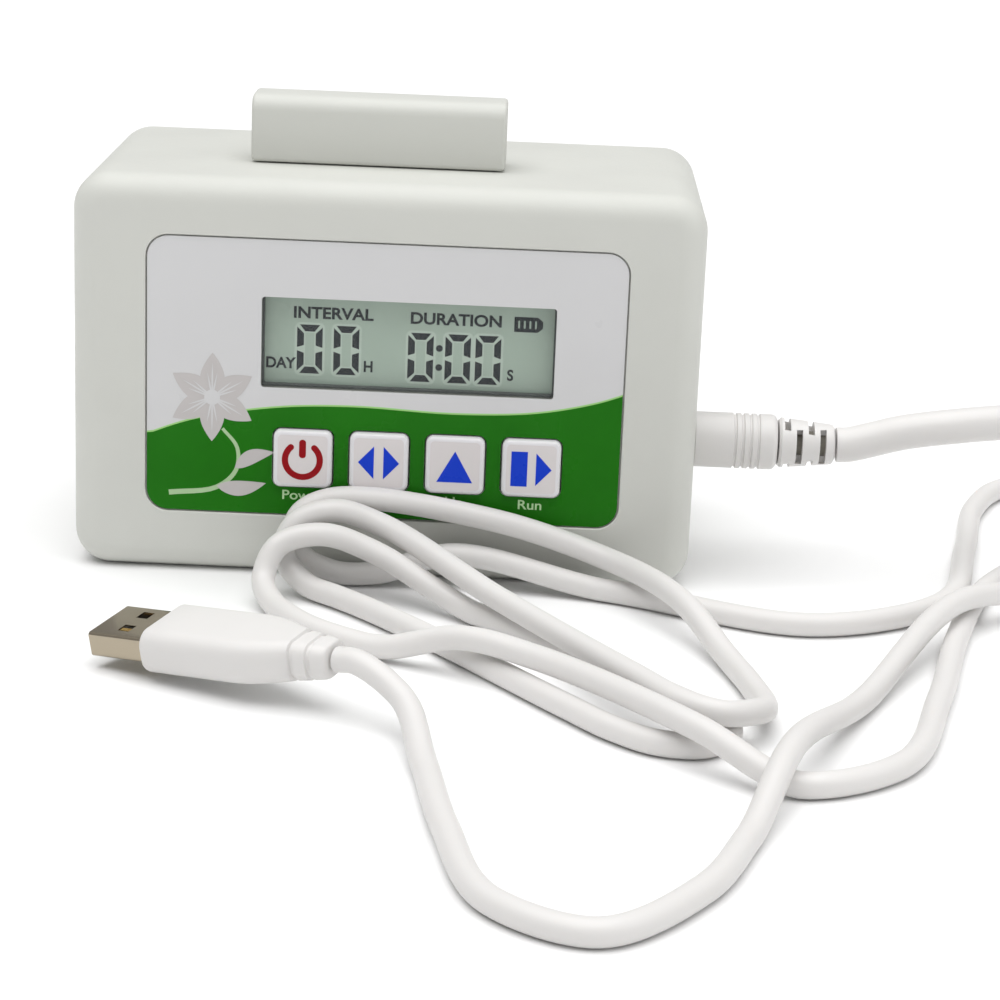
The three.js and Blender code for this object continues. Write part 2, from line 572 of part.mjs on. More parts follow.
// ---------------------------------------------------------------- inner leads
function flatLead(points, height) {
  return toSolid(new THREE.ExtrudeGeometry(roundedRectangle(height, 1.2, 0.4), {
    steps: 8, extrudePath: smoothPath(points), curveSegments: 1,
  }));
}

function buildLeads() {
  addPiece("motor_lead", flatLead([
    [MOTOR_X1 + 2.2, PUMP.y + 5, PUMP.z - 4], [MOTOR_X1 + 7, PUMP.y + 2, PUMP.z - 6],
    [MOTOR_X1 + 8, PUMP.y - 7, PUMP.z - 8], [MOTOR_X1 + 6, BOARD_BACK_Y + GAP, PUMP.z - 9],
  ], 2.4), WIRE_RED);
  addPiece("battery_lead", flatLead([
    [BAY.x0 - BAY.wall - 2.2, BAY.y0 + 3, 14], [BAY.x0 - BAY.wall - 4, 2, 15],
    [BAY.x0 - BAY.wall - 2, -8, 18], [-34, BOARD_BACK_Y + GAP, 20],
  ], 2.4), WIRE_RED);
}

// ---------------------------------------------------------------- power inlet and lead
function jackBar(radius, x0, x1, sides, endRadius = radius) {
  return bar("x", radius, x0, x1, JACK.y, JACK.z, sides, endRadius);
}

function buildJack() {
  const bodyY = BOARD_BACK_Y + GAP;
  const x0 = 43.5;
  const noseEnd = CASE_WIDTH / 2 - 0.2;
  const body = block(x0, INSIDE_X - 0.6, bodyY, 2 * JACK.y - bodyY, JACK.z - 5.5, JACK.z + 5.5);
  const nose = jackBar(JACK.nose, INSIDE_X - 1, noseEnd, 20);
  const socket = jackBar(JACK.bore, x0 + 2.5, noseEnd + 1, 18);
  const pin = jackBar(JACK.pin, x0 + 1, INSIDE_X, 10);
  return joined([body, nose]).subtract(socket).add(pin);
}

// The overmoulded body: a plain cylinder with four fine grip grooves ahead of the strain relief.
function buildPlugBody() {
  const grooves = [0, 1, 2, 3].map((step) => {
    const x = 67 + step * 1.5;
    return jackBar(PLUG.radius + 1, x, x + 0.7, 20).subtract(jackBar(PLUG.radius - 0.4, x - 1, x + 2, 20));
  });
  const body = joined([
    jackBar(PLUG.radius, PLUG.face, PLUG.bodyEnd - 1, 20),
    jackBar(PLUG.radius, PLUG.bodyEnd - 1, PLUG.bodyEnd, 20, PLUG.radius - 0.7),
  ]);
  return without(body, [...grooves, jackBar(2.75 + GAP, PLUG.face - 1, PLUG.face + 3.3, 18)]);
}

function buildBarrel() {
  const x0 = CASE_WIDTH / 2 - 9.2;
  return jackBar(2.75, x0, PLUG.face + 3, 18).subtract(jackBar(1.3, x0 - 1, PLUG.face + 1, 12));
}

// Tapered strain relief with staggered slots that let it bend.
function buildStrainRelief() {
  const x0 = PLUG.bodyEnd + GAP;
  const taper = jackBar(PLUG.reliefStart, x0, PLUG.reliefEnd, 16, PLUG.reliefTip);
  const wide = 3.4;
  const deep = 2.4;
  const slots = [0, 1, 2, 3].flatMap((step) => {
    const x = x0 + 1.6 + step * 2.3;
    const end = x + 1.2;
    const { y, z } = JACK;
    return [-1, 1].map((side) => {
      const [near, far] = [side * deep, side * 6].sort((first, second) => first - second);
      return step % 2 === 0
        ? block(x, end, y + near, y + far, z - wide, z + wide)
        : block(x, end, y - wide, y + wide, z + near, z + far);
    });
  });
  return without(taper, slots);
}

function buildBoot() {
  const section = new THREE.Shape();
  section.absarc(0, 0, BOOT_RADIUS, 0, 2 * Math.PI);
  return toSolid(new THREE.ExtrudeGeometry(section, {
    steps: 12, extrudePath: smoothPath(BOOT_ROUTE), curveSegments: 7,
  }));
}

// The cable's centre line. It never sags below the ground, and its sections are spread by route
// point instead of by length, so that the bends get more of them.
class CableCurve extends THREE.CatmullRomCurve3 {
  constructor(points) {
    super(points, false, "centripetal");
  }

  getPoint(t, target = new THREE.Vector3()) {
    super.getPoint(t, target);
    target.z = Math.max(target.z, CABLE_REST_Z);
    return target;
  }

  getUtoTmapping(u) {
    return u;
  }
}

function buildCable() {
  const path = new CableCurve(CABLE_ROUTE.map((point) => new THREE.Vector3(...point)));
  const section = new THREE.Shape();
  section.absarc(0, 0, CABLE_RADIUS, 0, 2 * Math.PI);
  return toSolid(new THREE.ExtrudeGeometry(section, {
    steps: CABLE_STEPS, extrudePath: path, curveSegments: 4,
  }));
}

function usbBox(x0, x1, width, z0, z1) {
  return block(x0, x1, -width / 2, width / 2, z0, z1);
}

// The USB plug in its own frame: +X from the shell's mouth to the cable, the shell's root at 0.
function buildUsbPlug() {
  const plug = new THREE.Group();
  plug.position.set(USB.x, USB.y, USB.z);
  const [roll, pitch, yaw] = [USB.roll, USB.pitch, USB.yaw].map(THREE.MathUtils.degToRad);
  plug.rotation.set(roll, pitch, yaw, "ZYX");
  group.add(plug);
  const { width, height, length, wall } = USB_SHELL;
  const half = height / 2;
  const buried = 3;
  const mouth = usbBox(-length - 1, buried - 1, width - 2 * wall, -half + wall, half - wall);
  const windows = [-2.5, 2.5].map((y) => block(-8.2, -6, y - 1.1, y + 1.1, half - 1, half + 1));
  const shell = without(usbBox(-length, buried, width, -half, half), [mouth, ...windows]);
  addPiece("usb_shell", shell, NICKEL, plug);

  const tongueWidth = width - 2 * wall - 2 * GAP;
  const tongue = usbBox(-length + 0.6, buried - 1 - GAP, tongueWidth, -half + wall + GAP, -0.1);
  addPiece("usb_tongue", tongue, BLACK_PLASTIC, plug);

  const outline = new THREE.Shape();
  outline.moveTo(0, -7.6);
  outline.lineTo(20, -7.6);
  outline.quadraticCurveTo(26, -6.8, 28.5, -4.6);
  outline.lineTo(USB_BODY_LENGTH, -3.7);
  outline.lineTo(USB_BODY_LENGTH, 3.7);
  outline.lineTo(28.5, 4.6);
  outline.quadraticCurveTo(26, 6.8, 20, 7.6);
  outline.lineTo(0, 7.6);
  outline.closePath();
  const bevel = 1.6;
  const thickness = 8;
  const geometry = new THREE.ExtrudeGeometry(outline, {
    depth: thickness - 2 * bevel, bevelEnabled: true, bevelThickness: bevel, bevelSize: bevel,
    bevelOffset: -bevel, bevelSegments: 3, curveSegments: 5,
  });
  geometry.translate(0, 0, -thickness / 2 + bevel);
  const socket = usbBox(-1, buried + GAP, width + 2 * GAP, -half - GAP, half + GAP);
  addPiece("usb_body", toSolid(geometry).subtract(socket), LEAD_WHITE, plug);
}

function buildPower() {
  addPiece("dc_jack", buildJack(), BLACK_PLASTIC);
  addPiece("dc_plug_body", buildPlugBody(), LEAD_WHITE);
  addPiece("dc_plug_barrel", buildBarrel(), NICKEL);
  addPiece("dc_plug_strain_relief", buildStrainRelief(), LEAD_WHITE);
  addPiece("dc_plug_boot", buildBoot(), LEAD_WHITE);
  addPiece("power_cable", buildCable(), LEAD_WHITE);
  buildUsbPlug();
}

buildCase();
buildPanel();
addPiece("hose_port_block", buildPortBlock(), CASE_WHITE);
addPiece("inlet_barb", buildBarb(BARB_X[0]), CASE_WHITE);
addPiece("outlet_barb", buildBarb(BARB_X[1]), CASE_WHITE);
buildPump();
buildHoses();
buildBatteryBay();
buildLeads();
buildPower();

export default group;
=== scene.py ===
import math

import bmesh
import bpy
from mathutils import Matrix, Vector


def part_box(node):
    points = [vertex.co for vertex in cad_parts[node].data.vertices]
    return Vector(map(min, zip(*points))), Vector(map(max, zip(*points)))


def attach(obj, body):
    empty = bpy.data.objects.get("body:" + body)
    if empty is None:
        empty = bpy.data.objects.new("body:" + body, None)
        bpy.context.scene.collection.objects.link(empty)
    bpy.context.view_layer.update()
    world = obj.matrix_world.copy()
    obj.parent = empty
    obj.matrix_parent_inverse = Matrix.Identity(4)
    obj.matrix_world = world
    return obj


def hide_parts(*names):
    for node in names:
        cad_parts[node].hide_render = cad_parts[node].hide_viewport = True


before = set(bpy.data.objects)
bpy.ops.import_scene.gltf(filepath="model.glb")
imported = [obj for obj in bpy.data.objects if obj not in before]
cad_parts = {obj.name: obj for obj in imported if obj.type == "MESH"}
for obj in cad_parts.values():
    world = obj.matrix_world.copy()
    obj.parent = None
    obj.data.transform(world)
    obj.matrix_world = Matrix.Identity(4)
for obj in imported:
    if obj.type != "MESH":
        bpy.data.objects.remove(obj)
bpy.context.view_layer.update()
MM = 0.001
HALF_PI = math.pi / 2


# ------------------------------------------------------------------ camera
def make_camera():
    data = bpy.data.cameras.new("camera")
    data.lens = 96.9
    data.sensor_width = 36
    data.clip_start = 0.02
    data.clip_end = 30
    pitch = math.radians(16.6)
    yaw = math.radians(-0.6)
    roll = -0.0405
    ahead = Vector((math.sin(yaw) * math.cos(pitch), math.cos(yaw) * math.cos(pitch), -math.sin(pitch)))
    level = Vector((math.cos(yaw), -math.sin(yaw), 0))
    below = ahead.cross(level)
    right = math.cos(roll) * level + math.sin(roll) * below
    up = math.sin(roll) * level - math.cos(roll) * below
    camera = bpy.data.objects.new("camera", data)
    bpy.context.scene.collection.objects.link(camera)
    turn = Matrix((right, up, -ahead)).transposed().to_4x4()
    camera.matrix_world = Matrix.Translation(Vector((27.6, -520.2, 162.8)) * MM) @ turn
    bpy.context.scene.camera = camera


make_camera()


# ------------------------------------------------------------------ materials
def srgb(red, green, blue):
    """A colour given in display values from 0 to 255, as a linear one."""
    linear = []
    for value in (red, green, blue):
        share = value / 255
        linear.append(share / 12.92 if share <= 0.04045 else ((share + 0.055) / 1.055) ** 2.4)
    return (*linear, 1.0)


def surface(
    name, color, roughness, metallic=0.0, grain=0.4, depth=0.01, mottle=0.05,
    rough_swing=0.08, coat=0.0, soft=0.0, stretch=(1, 1, 1), alpha=1.0, gloss=0.5,
):
    """A finish with a fine moulded or brushed grain, and broad variations of colour and sheen.
    grain is the size of the grain and depth its height, both in millimetres."""
    material = bpy.data.materials.new(name)
    material.use_nodes = True
    nodes = material.node_tree.nodes
    link = material.node_tree.links.new
    shader = nodes["Principled BSDF"]
    shader.inputs["Base Color"].default_value = color
    shader.inputs["Roughness"].default_value = roughness
    shader.inputs["Metallic"].default_value = metallic
    shader.inputs["Specular IOR Level"].default_value = gloss
    shader.inputs["Coat Weight"].default_value = coat
    shader.inputs["Coat Roughness"].default_value = 0.12
    shader.inputs["Alpha"].default_value = alpha
    if soft > 0:
        shader.inputs["Subsurface Weight"].default_value = soft
        shader.inputs["Subsurface Radius"].default_value = (0.002, 0.0018, 0.0016)
        shader.inputs["Subsurface Scale"].default_value = 1.0
    place = nodes.new("ShaderNodeTexCoord")
    mapping = nodes.new("ShaderNodeMapping")
    mapping.inputs["Scale"].default_value = stretch
    link(place.outputs["Object"], mapping.inputs["Vector"])

    fine = nodes.new("ShaderNodeTexNoise")
    fine.inputs["Scale"].default_value = 1 / (grain * MM)
    fine.inputs["Detail"].default_value = 2
    bump = nodes.new("ShaderNodeBump")
    bump.inputs["Strength"].default_value = 0.6
    bump.inputs["Distance"].default_value = depth * MM
    link(mapping.outputs["Vector"], fine.inputs["Vector"])
    link(fine.outputs["Fac"], bump.inputs["Height"])
    link(bump.outputs["Normal"], shader.inputs["Normal"])

    broad = nodes.new("ShaderNodeTexNoise")
    broad.inputs["Scale"].default_value = 70
    broad.inputs["Detail"].default_value = 5
    link(mapping.outputs["Vector"], broad.inputs["Vector"])
    sheen = nodes.new("ShaderNodeMapRange")
    sheen.inputs["From Min"].default_value = 0.3
    sheen.inputs["From Max"].default_value = 0.7
    sheen.inputs["To Min"].default_value = max(roughness - rough_swing, 0.02)
    sheen.inputs["To Max"].default_value = min(roughness + rough_swing, 1.0)
    link(broad.outputs["Fac"], sheen.inputs["Value"])
    link(sheen.outputs["Result"], shader.inputs["Roughness"])

    tint = nodes.new("ShaderNodeMix")
    tint.data_type = "RGBA"
    tint.inputs[6].default_value = color
    tint.inputs[7].default_value = tuple(part * (1 - mottle) for part in color[:3]) + (1.0,)
    link(broad.outputs["Fac"], tint.inputs[0])
    link(tint.outputs[2], shader.inputs["Base Color"])
    return material


CASE = surface("case_abs", srgb(209, 210, 204), 0.5, grain=0.35, depth=0.012, soft=0.05)
# The pale cap colour shows as a rim round the darker key face: a painted highlight on the rounded edge.
KEY_CAP_PAINTED_HIGHLIGHT = surface("key_cap_painted_highlight", srgb(232, 230, 233), 0.32, grain=0.8, depth=0.004, soft=0.1)
KEY_FACE = surface("key_face", srgb(224, 219, 219), 0.36, grain=0.6, depth=0.004, gloss=0.3)
FILM = surface("label_film", srgb(213, 213, 214), 0.34, grain=0.5, depth=0.004, mottle=0.03, gloss=0.3)
GREEN = surface("print_green", srgb(30, 120, 10), 0.3, grain=0.4, depth=0.004, mottle=0.3, gloss=0.12)
GREEN_EDGE = surface("print_edge", srgb(160, 212, 128), 0.35, grain=0.4, depth=0.003, gloss=0.2)
MOTIF_GREY = surface("print_grey", srgb(200, 196, 195), 0.4, grain=0.5, depth=0.004, mottle=0.1, gloss=0.2)
MOTIF_PALE = surface("print_pale", srgb(176, 205, 160), 0.4, grain=0.5, depth=0.004, mottle=0.1, gloss=0.2)
CAPTION = surface("print_caption", srgb(196, 230, 178), 0.4, grain=0.5, depth=0.003, gloss=0.2)
KEY_RED = surface("print_red", srgb(150, 8, 20), 0.3, grain=0.5, depth=0.003, gloss=0.15)
KEY_BLUE = surface("print_blue", srgb(18, 62, 205), 0.3, grain=0.5, depth=0.003, gloss=0.15)
LCD = surface("lcd_glass", srgb(170, 188, 174), 0.22, grain=1.0, depth=0.002, mottle=0.12, gloss=0.3)
# A paler tint of the display glass laid round each digit: a painted glow.
LCD_PAINTED_GLOW = surface("lcd_painted_glow", srgb(186, 202, 189), 0.25, grain=1.0, depth=0.002, gloss=0.3)
LCD_INK = surface("lcd_ink", srgb(20, 26, 36), 0.3, grain=0.5, depth=0.003, mottle=0.15, gloss=0.1)
LENS = surface("window_lens", srgb(235, 242, 236), 0.06, grain=2.0, depth=0.002, alpha=0.03)
BLACK = surface("black_moulding", srgb(28, 28, 30), 0.5, grain=0.4, depth=0.015)
GASKET = surface("grey_gasket", srgb(84, 88, 88), 0.6, grain=0.5, depth=0.01, gloss=0.2)
BOARD = surface("solder_mask", srgb(24, 92, 50), 0.35, grain=0.5, depth=0.01, mottle=0.2, coat=0.3)
STEEL = surface("zinc_steel", srgb(170, 172, 176), 0.35, 1.0, grain=0.6, depth=0.006, stretch=(0.1, 1, 1))
SCREW = surface("screw_steel", srgb(150, 150, 152), 0.35, 1.0, grain=0.5, depth=0.01)
CONTACT = surface("contact_steel", srgb(200, 198, 190), 0.3, 1.0, grain=0.5, depth=0.006)
NYLON = surface("natural_nylon", srgb(230, 226, 214), 0.45, grain=0.6, depth=0.01, soft=0.15)
RUBBER = surface("black_rubber", srgb(34, 34, 36), 0.85, grain=0.5, depth=0.02)
SILICONE = surface("silicone", srgb(224, 231, 232), 0.3, grain=1.2, depth=0.006, soft=0.4)
SLEEVE = surface("cell_sleeve", srgb(44, 108, 168), 0.28, grain=1.5, depth=0.006, mottle=0.12, coat=0.4)
WIRE = surface("wire_red", srgb(168, 24, 22), 0.4, grain=0.6, depth=0.01)
LEAD = surface("lead_pvc", srgb(221, 219, 217), 0.42, grain=1.4, depth=0.02, mottle=0.04, soft=0.12)
# Dark grey that shows at the bottom of the strain-relief slots: painted shade between the ribs.
SLOT_SHADE = surface("painted_slot_shade", srgb(118, 114, 104), 0.6, grain=0.8, depth=0.02)
NICKEL = surface(
    "nickel", srgb(178, 167, 148), 0.2, 1.0, grain=0.5, depth=0.004, mottle=0.2, stretch=(0.15, 1, 1),
)
GOLD = surface("contact_gold", srgb(214, 178, 96), 0.25, 1.0, grain=0.5, depth=0.003)


# ------------------------------------------------------------------ building blocks
def box_mm(node):
    low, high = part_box(node)
    return low / MM, high / MM


def linked(name, mesh):
    obj = bpy.data.objects.new(name, mesh)
    bpy.context.scene.collection.objects.link(obj)
    return obj


def solid(name, verts, faces):
    """A closed mesh object with its faces pointing out."""
    mesh = bpy.data.meshes.new(name)
    mesh.from_pydata([tuple(vert) for vert in verts], [], faces)
    work = bmesh.new()
    work.from_mesh(mesh)
    bmesh.ops.recalc_face_normals(work, faces=work.faces)
    work.to_mesh(mesh)
    work.free()
    return linked(name, mesh)


def loft(name, rings, loop=False):
    """Skin through rings of equal point count. loop joins the last ring to the first one."""
    count = len(rings[0])
    faces = []
    for step in range(len(rings) if loop else len(rings) - 1):
        here = step * count
        there = (step + 1) % len(rings) * count
        for at in range(count):
            after = (at + 1) % count
            faces.append((here + at, here + after, there + after, there + at))
    if not loop:
        faces.append(tuple(range(count)))
        faces.append(tuple(range((len(rings) - 1) * count, len(rings) * count)))
    return solid(name, [point for ring in rings for point in ring], faces)


def rounded(width, height, corner, steps=8, x=0.0, z=0.0):
    """Outline of a rounded rectangle, as (x, z) pairs."""
    points = []
    for quarter, (sx, sz) in enumerate(((1, -1), (1, 1), (-1, 1), (-1, -1))):
        cx = x + sx * (width / 2 - corner)
        cz = z + sz * (height / 2 - corner)
        for step in range(steps + 1):
            angle = HALF_PI * (quarter - 1 + step / steps)
            points.append((cx + corner * math.cos(angle), cz + corner * math.sin(angle)))
    return points


def plate(name, width, height, corner, x, z, y0, y1, front=0.0, rear=0.0, steps=8, turns=6):
    """A rounded rectangle in the XZ plane from y0 to y1, its front and rear edges rounded."""
    stations = []
    if front > 0:
        for step in range(turns + 1):
            angle = HALF_PI * step / turns
            stations.append((y0 + front * (1 - math.cos(angle)), front * (1 - math.sin(angle))))
    else:
        stations.append((y0, 0.0))
    if rear > 0:
        for step in range(turns + 1):
            angle = HALF_PI * (1 - step / turns)
            stations.append((y1 - rear * (1 - math.cos(angle)), rear * (1 - math.sin(angle))))
    else:
        stations.append((y1, 0.0))
    rings = []
    for y, inset in stations:
        outline = rounded(width - 2 * inset, height - 2 * inset, max(corner - inset, 0.05), steps, x, z)
        rings.append([(px, y, pz) for px, pz in outline])
    return loft(name, rings)


def cuboid(x0, x1, y0, y1, z0, z1):
    verts = [(x, y, z) for x in (x0, x1) for y in (y0, y1) for z in (z0, z1)]
    faces = [(0, 1, 3, 2), (4, 6, 7, 5), (0, 4, 5, 1), (2, 3, 7, 6), (0, 2, 6, 4), (1, 5, 7, 3)]
    return solid("cutter", verts, faces)


def turned(name, profile, axis, centre, sides=48, loop=False):
    """A body turned about the X, Y or Z axis. profile lists (place on the axis, radius)."""
    rings = []
    for place, radius in profile:
        ring = []
        for side in range(sides):
            angle = 2 * math.pi * side / sides
            across = radius * math.cos(angle)
            along = radius * math.sin(angle)
            ring.append({
                "x": (place, centre[0] + across, centre[1] + along),
                "y": (centre[0] + across, place, centre[1] + along),
                "z": (centre[0] + across, centre[1] + along, place),
            }[axis])
        rings.append(ring)
    return loft(name, rings, loop)


def bar(axis, radius, start, end, first, second, sides=32):
    return turned("cutter", [(start, radius), (end, radius)], axis, (first, second), sides)


def carve(target, tools, operation="DIFFERENCE"):
    """Cuts the tools from the target, or joins them to it, and removes them."""
    for tool in tools:
        cut = target.modifiers.new("cut", "BOOLEAN")
        cut.operation = operation
        cut.object = tool
        cut.solver = "EXACT"
    bpy.context.view_layer.update()
    seen = target.evaluated_get(bpy.context.evaluated_depsgraph_get())
    mesh = bpy.data.meshes.new_from_object(seen)
    target.modifiers.clear()
    target.data = mesh
    for tool in tools:
        bpy.data.objects.remove(tool)
    return target


def shade(obj, angle=35):
    obj.data.shade_smooth()
    obj.data.set_sharp_from_angle(angle=math.radians(angle))


def finish_piece(obj, material, body, replaces=(), edge=0.0, matrix=None, angle=35):
    """Scales a piece to metres, gives it its finish and a small edge rounding, and lets it ride."""
    if matrix is not None:
        obj.data.transform(matrix)
    obj.data.transform(Matrix.Scale(MM, 4))
    obj.data.materials.clear()
    obj.data.materials.append(material)
    shade(obj, angle)
    if edge > 0:
        bevel = obj.modifiers.new("edge", "BEVEL")
        bevel.width = edge * MM
        bevel.segments = 2
        bevel.limit_method = "ANGLE"
        bevel.angle_limit = math.radians(40)
        bevel.harden_normals = True
    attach(obj, body)
    if replaces:
        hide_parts(*replaces)
    return obj


def converted(curve, y):
    """The mesh of a flat curve or text drawn in millimetres, stood up in the XZ plane at y."""
    drawn = linked(curve.name, curve)
    bpy.context.view_layer.update()
    seen = drawn.evaluated_get(bpy.context.evaluated_depsgraph_get())
    mesh = bpy.data.meshes.new_from_object(seen)
    bpy.data.objects.remove(drawn)
    mesh.transform(Matrix.Translation((0, y, 0)) @ Matrix.Rotation(HALF_PI, 4, "X"))
    return mesh


def flat(name, outlines, y, thickness, material, body, replaces=()):
    """A flat sheet with the given outlines, in front of y; outlines inside others are holes."""
    curve = bpy.data.curves.new(name, "CURVE")
    curve.dimensions = "2D"
    curve.fill_mode = "BOTH"
    curve.extrude = thickness / 2
    for outline in outlines:
        spline = curve.splines.new("POLY")
        spline.points.add(len(outline) - 1)
        for point, (x, z) in zip(spline.points, outline):
            point.co = (x, z, 0, 1)
        spline.use_cyclic_u = True
    obj = linked(name, converted(curve, y - thickness / 2))
    return finish_piece(obj, material, body, replaces)


def lettering(name, text, x, z, height, y, material, body, stretch=1.0, weight=0.012):
    """Generic wording whose capitals are `height` tall and stand on z."""
    curve = bpy.data.curves.new(name, "FONT")
    curve.body = text
    curve.size = height / 0.69
    curve.align_x = "CENTER"
    curve.extrude = 0.01
    curve.offset = weight * height
    mesh = converted(curve, y)
    mesh.transform(Matrix.Translation((x, 0, z)) @ Matrix.Diagonal((stretch, 1, 1, 1)))
    return finish_piece(linked(name, mesh), material, body)


def smooth_route(points, per_span, floor=None):
    """Points on the centripetal Catmull-Rom curve through `points`, kept above the floor."""
    places = [Vector(point) for point in points]
    places.insert(0, 2 * places[0] - places[1])
    places.append(2 * places[-1] - places[-2])
    route = []
    for at in range(1, len(places) - 2):
        p0, p1, p2, p3 = places[at - 1:at + 3]
        d01, d12, d23 = ((b - a).length ** 0.5 for a, b in ((p0, p1), (p1, p2), (p2, p3)))
        start = ((p1 - p0) / d01 - (p2 - p0) / (d01 + d12) + (p2 - p1) / d12) * d12
        end = ((p2 - p1) / d12 - (p3 - p1) / (d12 + d23) + (p3 - p2) / d23) * d12
        for step in range(per_span):
            t = step / per_span
            route.append(
                p1 * (2 * t ** 3 - 3 * t ** 2 + 1) + start * (t ** 3 - 2 * t ** 2 + t)
                + p2 * (3 * t ** 2 - 2 * t ** 3) + end * (t ** 3 - t ** 2)
            )
    route.append(places[-2])
    if floor is not None:
        for point in route:
            point.z = max(point.z, floor)
    return route


# ------------------------------------------------------------------ power cable
CABLE_DIAMETER = 4.4
CABLE_REST_Z = 2.25
CABLE_ROUTE = [
    (123.3, -12.5, 32), (135, -10.5, 32.3), (147, -3, 27), (155, 11, 15), (157, 27, 5.4),
    (153, 42, 2.25), (142, 50, 2.25), (130, 43, 2.25), (122, 27, 2.25), (116, -2, 2.25),
    (106, -38, 2.25), (80, -53, 2.25), (42, -38, 2.3), (14.3, -34.4, 6.8), (-0.5, -35.1, 2.7),
    (-9, -35.6, 2.9), (-15.5, -35.8, 6.8), (-15.5, -34.8, 13), (-9, -33.8, 16.6), (21.2, -33.8, 13.8),
    (43, -36.5, 8), (56, -55, 6.9), (63.5, -72, 2.8), (67.5, -87, 2.25), (68.8, -98.5, 3.2),
    (66.6, -108, 5.8), (60.8, -112.5, 7), (54.5, -109, 7.3), (47, -98, 7.3), (23, -60, 7.2),
    (0.5, -38.6, 13.4), (-8.5, -38.6, 15.8), (-15.5, -39.6, 13.2), (-17.5, -40.8, 7.6),
    (-13.5, -43.8, 3.2), (-5.5, -50, 2.25), (10.7, -68, 2.25), (36, -100.5, 2.25),
    (43.5, -109.5, 2.25), (50.5, -114.7, 2.25), (57.8, -115, 2.25), (62.3, -109.3, 2.25),
    (60.5, -102, 2.25), (53.5, -93, 2.25), (18.6, -54.5, 2.25), (-0.5, -43.6, 9.6), (-10, -43.8, 12.6),
    (-18, -45, 10.6), (-20.5, -48.2, 5), (-17.5, -55.5, 2.25), (-9.5, -67, 2.25), (3.4, -76, 2.6),
    (16.9, -81.5, 6.9), (30.2, -90, 7), (56, -119, 7), (72, -130, 2.3), (89, -120, 2.25),
    (99.5, -88, 2.25), (107, -56, 2.25), (117, -26, 2.25), (136, -1, 2.25), (149, 6, 2.25),
    (160, 1.5, 2.25), (162.5, -9.5, 2.25), (153, -18.5, 2.25), (132, -28, 2.25), (108, -50, 7.2),
    (86, -92, 2.6), (71, -127, 7.8), (63, -150, 2.25), (55, -170, 2.25), (40, -185.5, 2.25),
    (25, -177, 2.25), (17.5, -152, 2.25), (13, -127, 2.4), (8.8, -111, 6.5), (1, -104.3, 9.9),
    (-2.5, -102.4, 9.6),
]


def make_cable():
    route = smooth_route(CABLE_ROUTE, 12, CABLE_REST_Z)
    curve = bpy.data.curves.new("cable", "CURVE")
    curve.dimensions = "3D"
    curve.bevel_depth = CABLE_DIAMETER / 2 * MM
    curve.bevel_resolution = 6
    curve.use_fill_caps = True
    spline = curve.splines.new("POLY")
    spline.points.add(len(route) - 1)
    for point, place in zip(spline.points, route):
        point.co = (*(place * MM), 1)
    spline.use_smooth = True
    curve.materials.append(LEAD)
    cable = linked("cable", curve)
    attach(cable, "power_lead")
    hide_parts("power_cable")
    length = sum((b - a).length for a, b in zip(route, route[1:])) * MM
    return cable, route[0] * MM, length


cable, cable_exit, cable_length = make_cable()


# ------------------------------------------------------------------ case
shell_low, shell_high = box_mm("front_shell")
rear_low, rear_high = box_mm("rear_cover")
CASE_WIDTH = shell_high.x - shell_low.x
CASE_HEIGHT = 76
CASE_CORNER = 7
CASE_EDGE = 5
FRONT_Y = shell_low.y
PARTING_Y = shell_high.y
REAR_Y = rear_high.y
WALL = 2.2
FRONT_WALL = 3.2
GAP = 0.3
SCREWS = [(x, z) for x in (-50, 50) for z in (10, 66)]
SCREW_POCKET = {"radius": 3, "depth": 2.4, "shank": 1.9}
BAY = {"x": 33, "y": 12.2, "z0": 8.4, "z1": 67.6, "wall": 1.6}      # room for the cells
DOOR_THICKNESS = 2.2
HOSE_X = (-13.5, 6.5)           # inlet and outlet
HOSE_Y = -6
KEYS = ["power", "setting", "increase", "start"]

label_low, label_high = box_mm("front_label")
LABEL_SIZE = (label_high.x - label_low.x, label_high.z - label_low.z)
LABEL_Z = (label_high.z + label_low.z) / 2
LABEL_CORNER = 4
WINDOW = {"x": 4.2, "z": 45.6, "width": 55, "height": 17.4}
JACK_Y = (box_mm("dc_plug_body")[0].y + box_mm("dc_plug_body")[1].y) / 2
JACK_Z = (box_mm("dc_plug_body")[0].z + box_mm("dc_plug_body")[1].z) / 2


def key_place(name):
    """Centre and size of a key's cap; its hidden flange stands out 1.1 mm all round."""
    low, high = box_mm(f"key_{name}")
    return (low.x + high.x) / 2, (low.z + high.z) / 2, high.x - low.x - 2.2


def case_body(name):
    return plate(
        name, CASE_WIDTH, CASE_HEIGHT, CASE_CORNER, 0, CASE_HEIGHT / 2, FRONT_Y, REAR_Y,
        CASE_EDGE, CASE_EDGE, 12, 10,
    )


def key_hole(name, y0, y1):
    x, z, size = key_place(name)
    return plate("cutter", size + 2 * GAP, size + 2 * GAP, 1.7, x, z, y0, y1, steps=4)


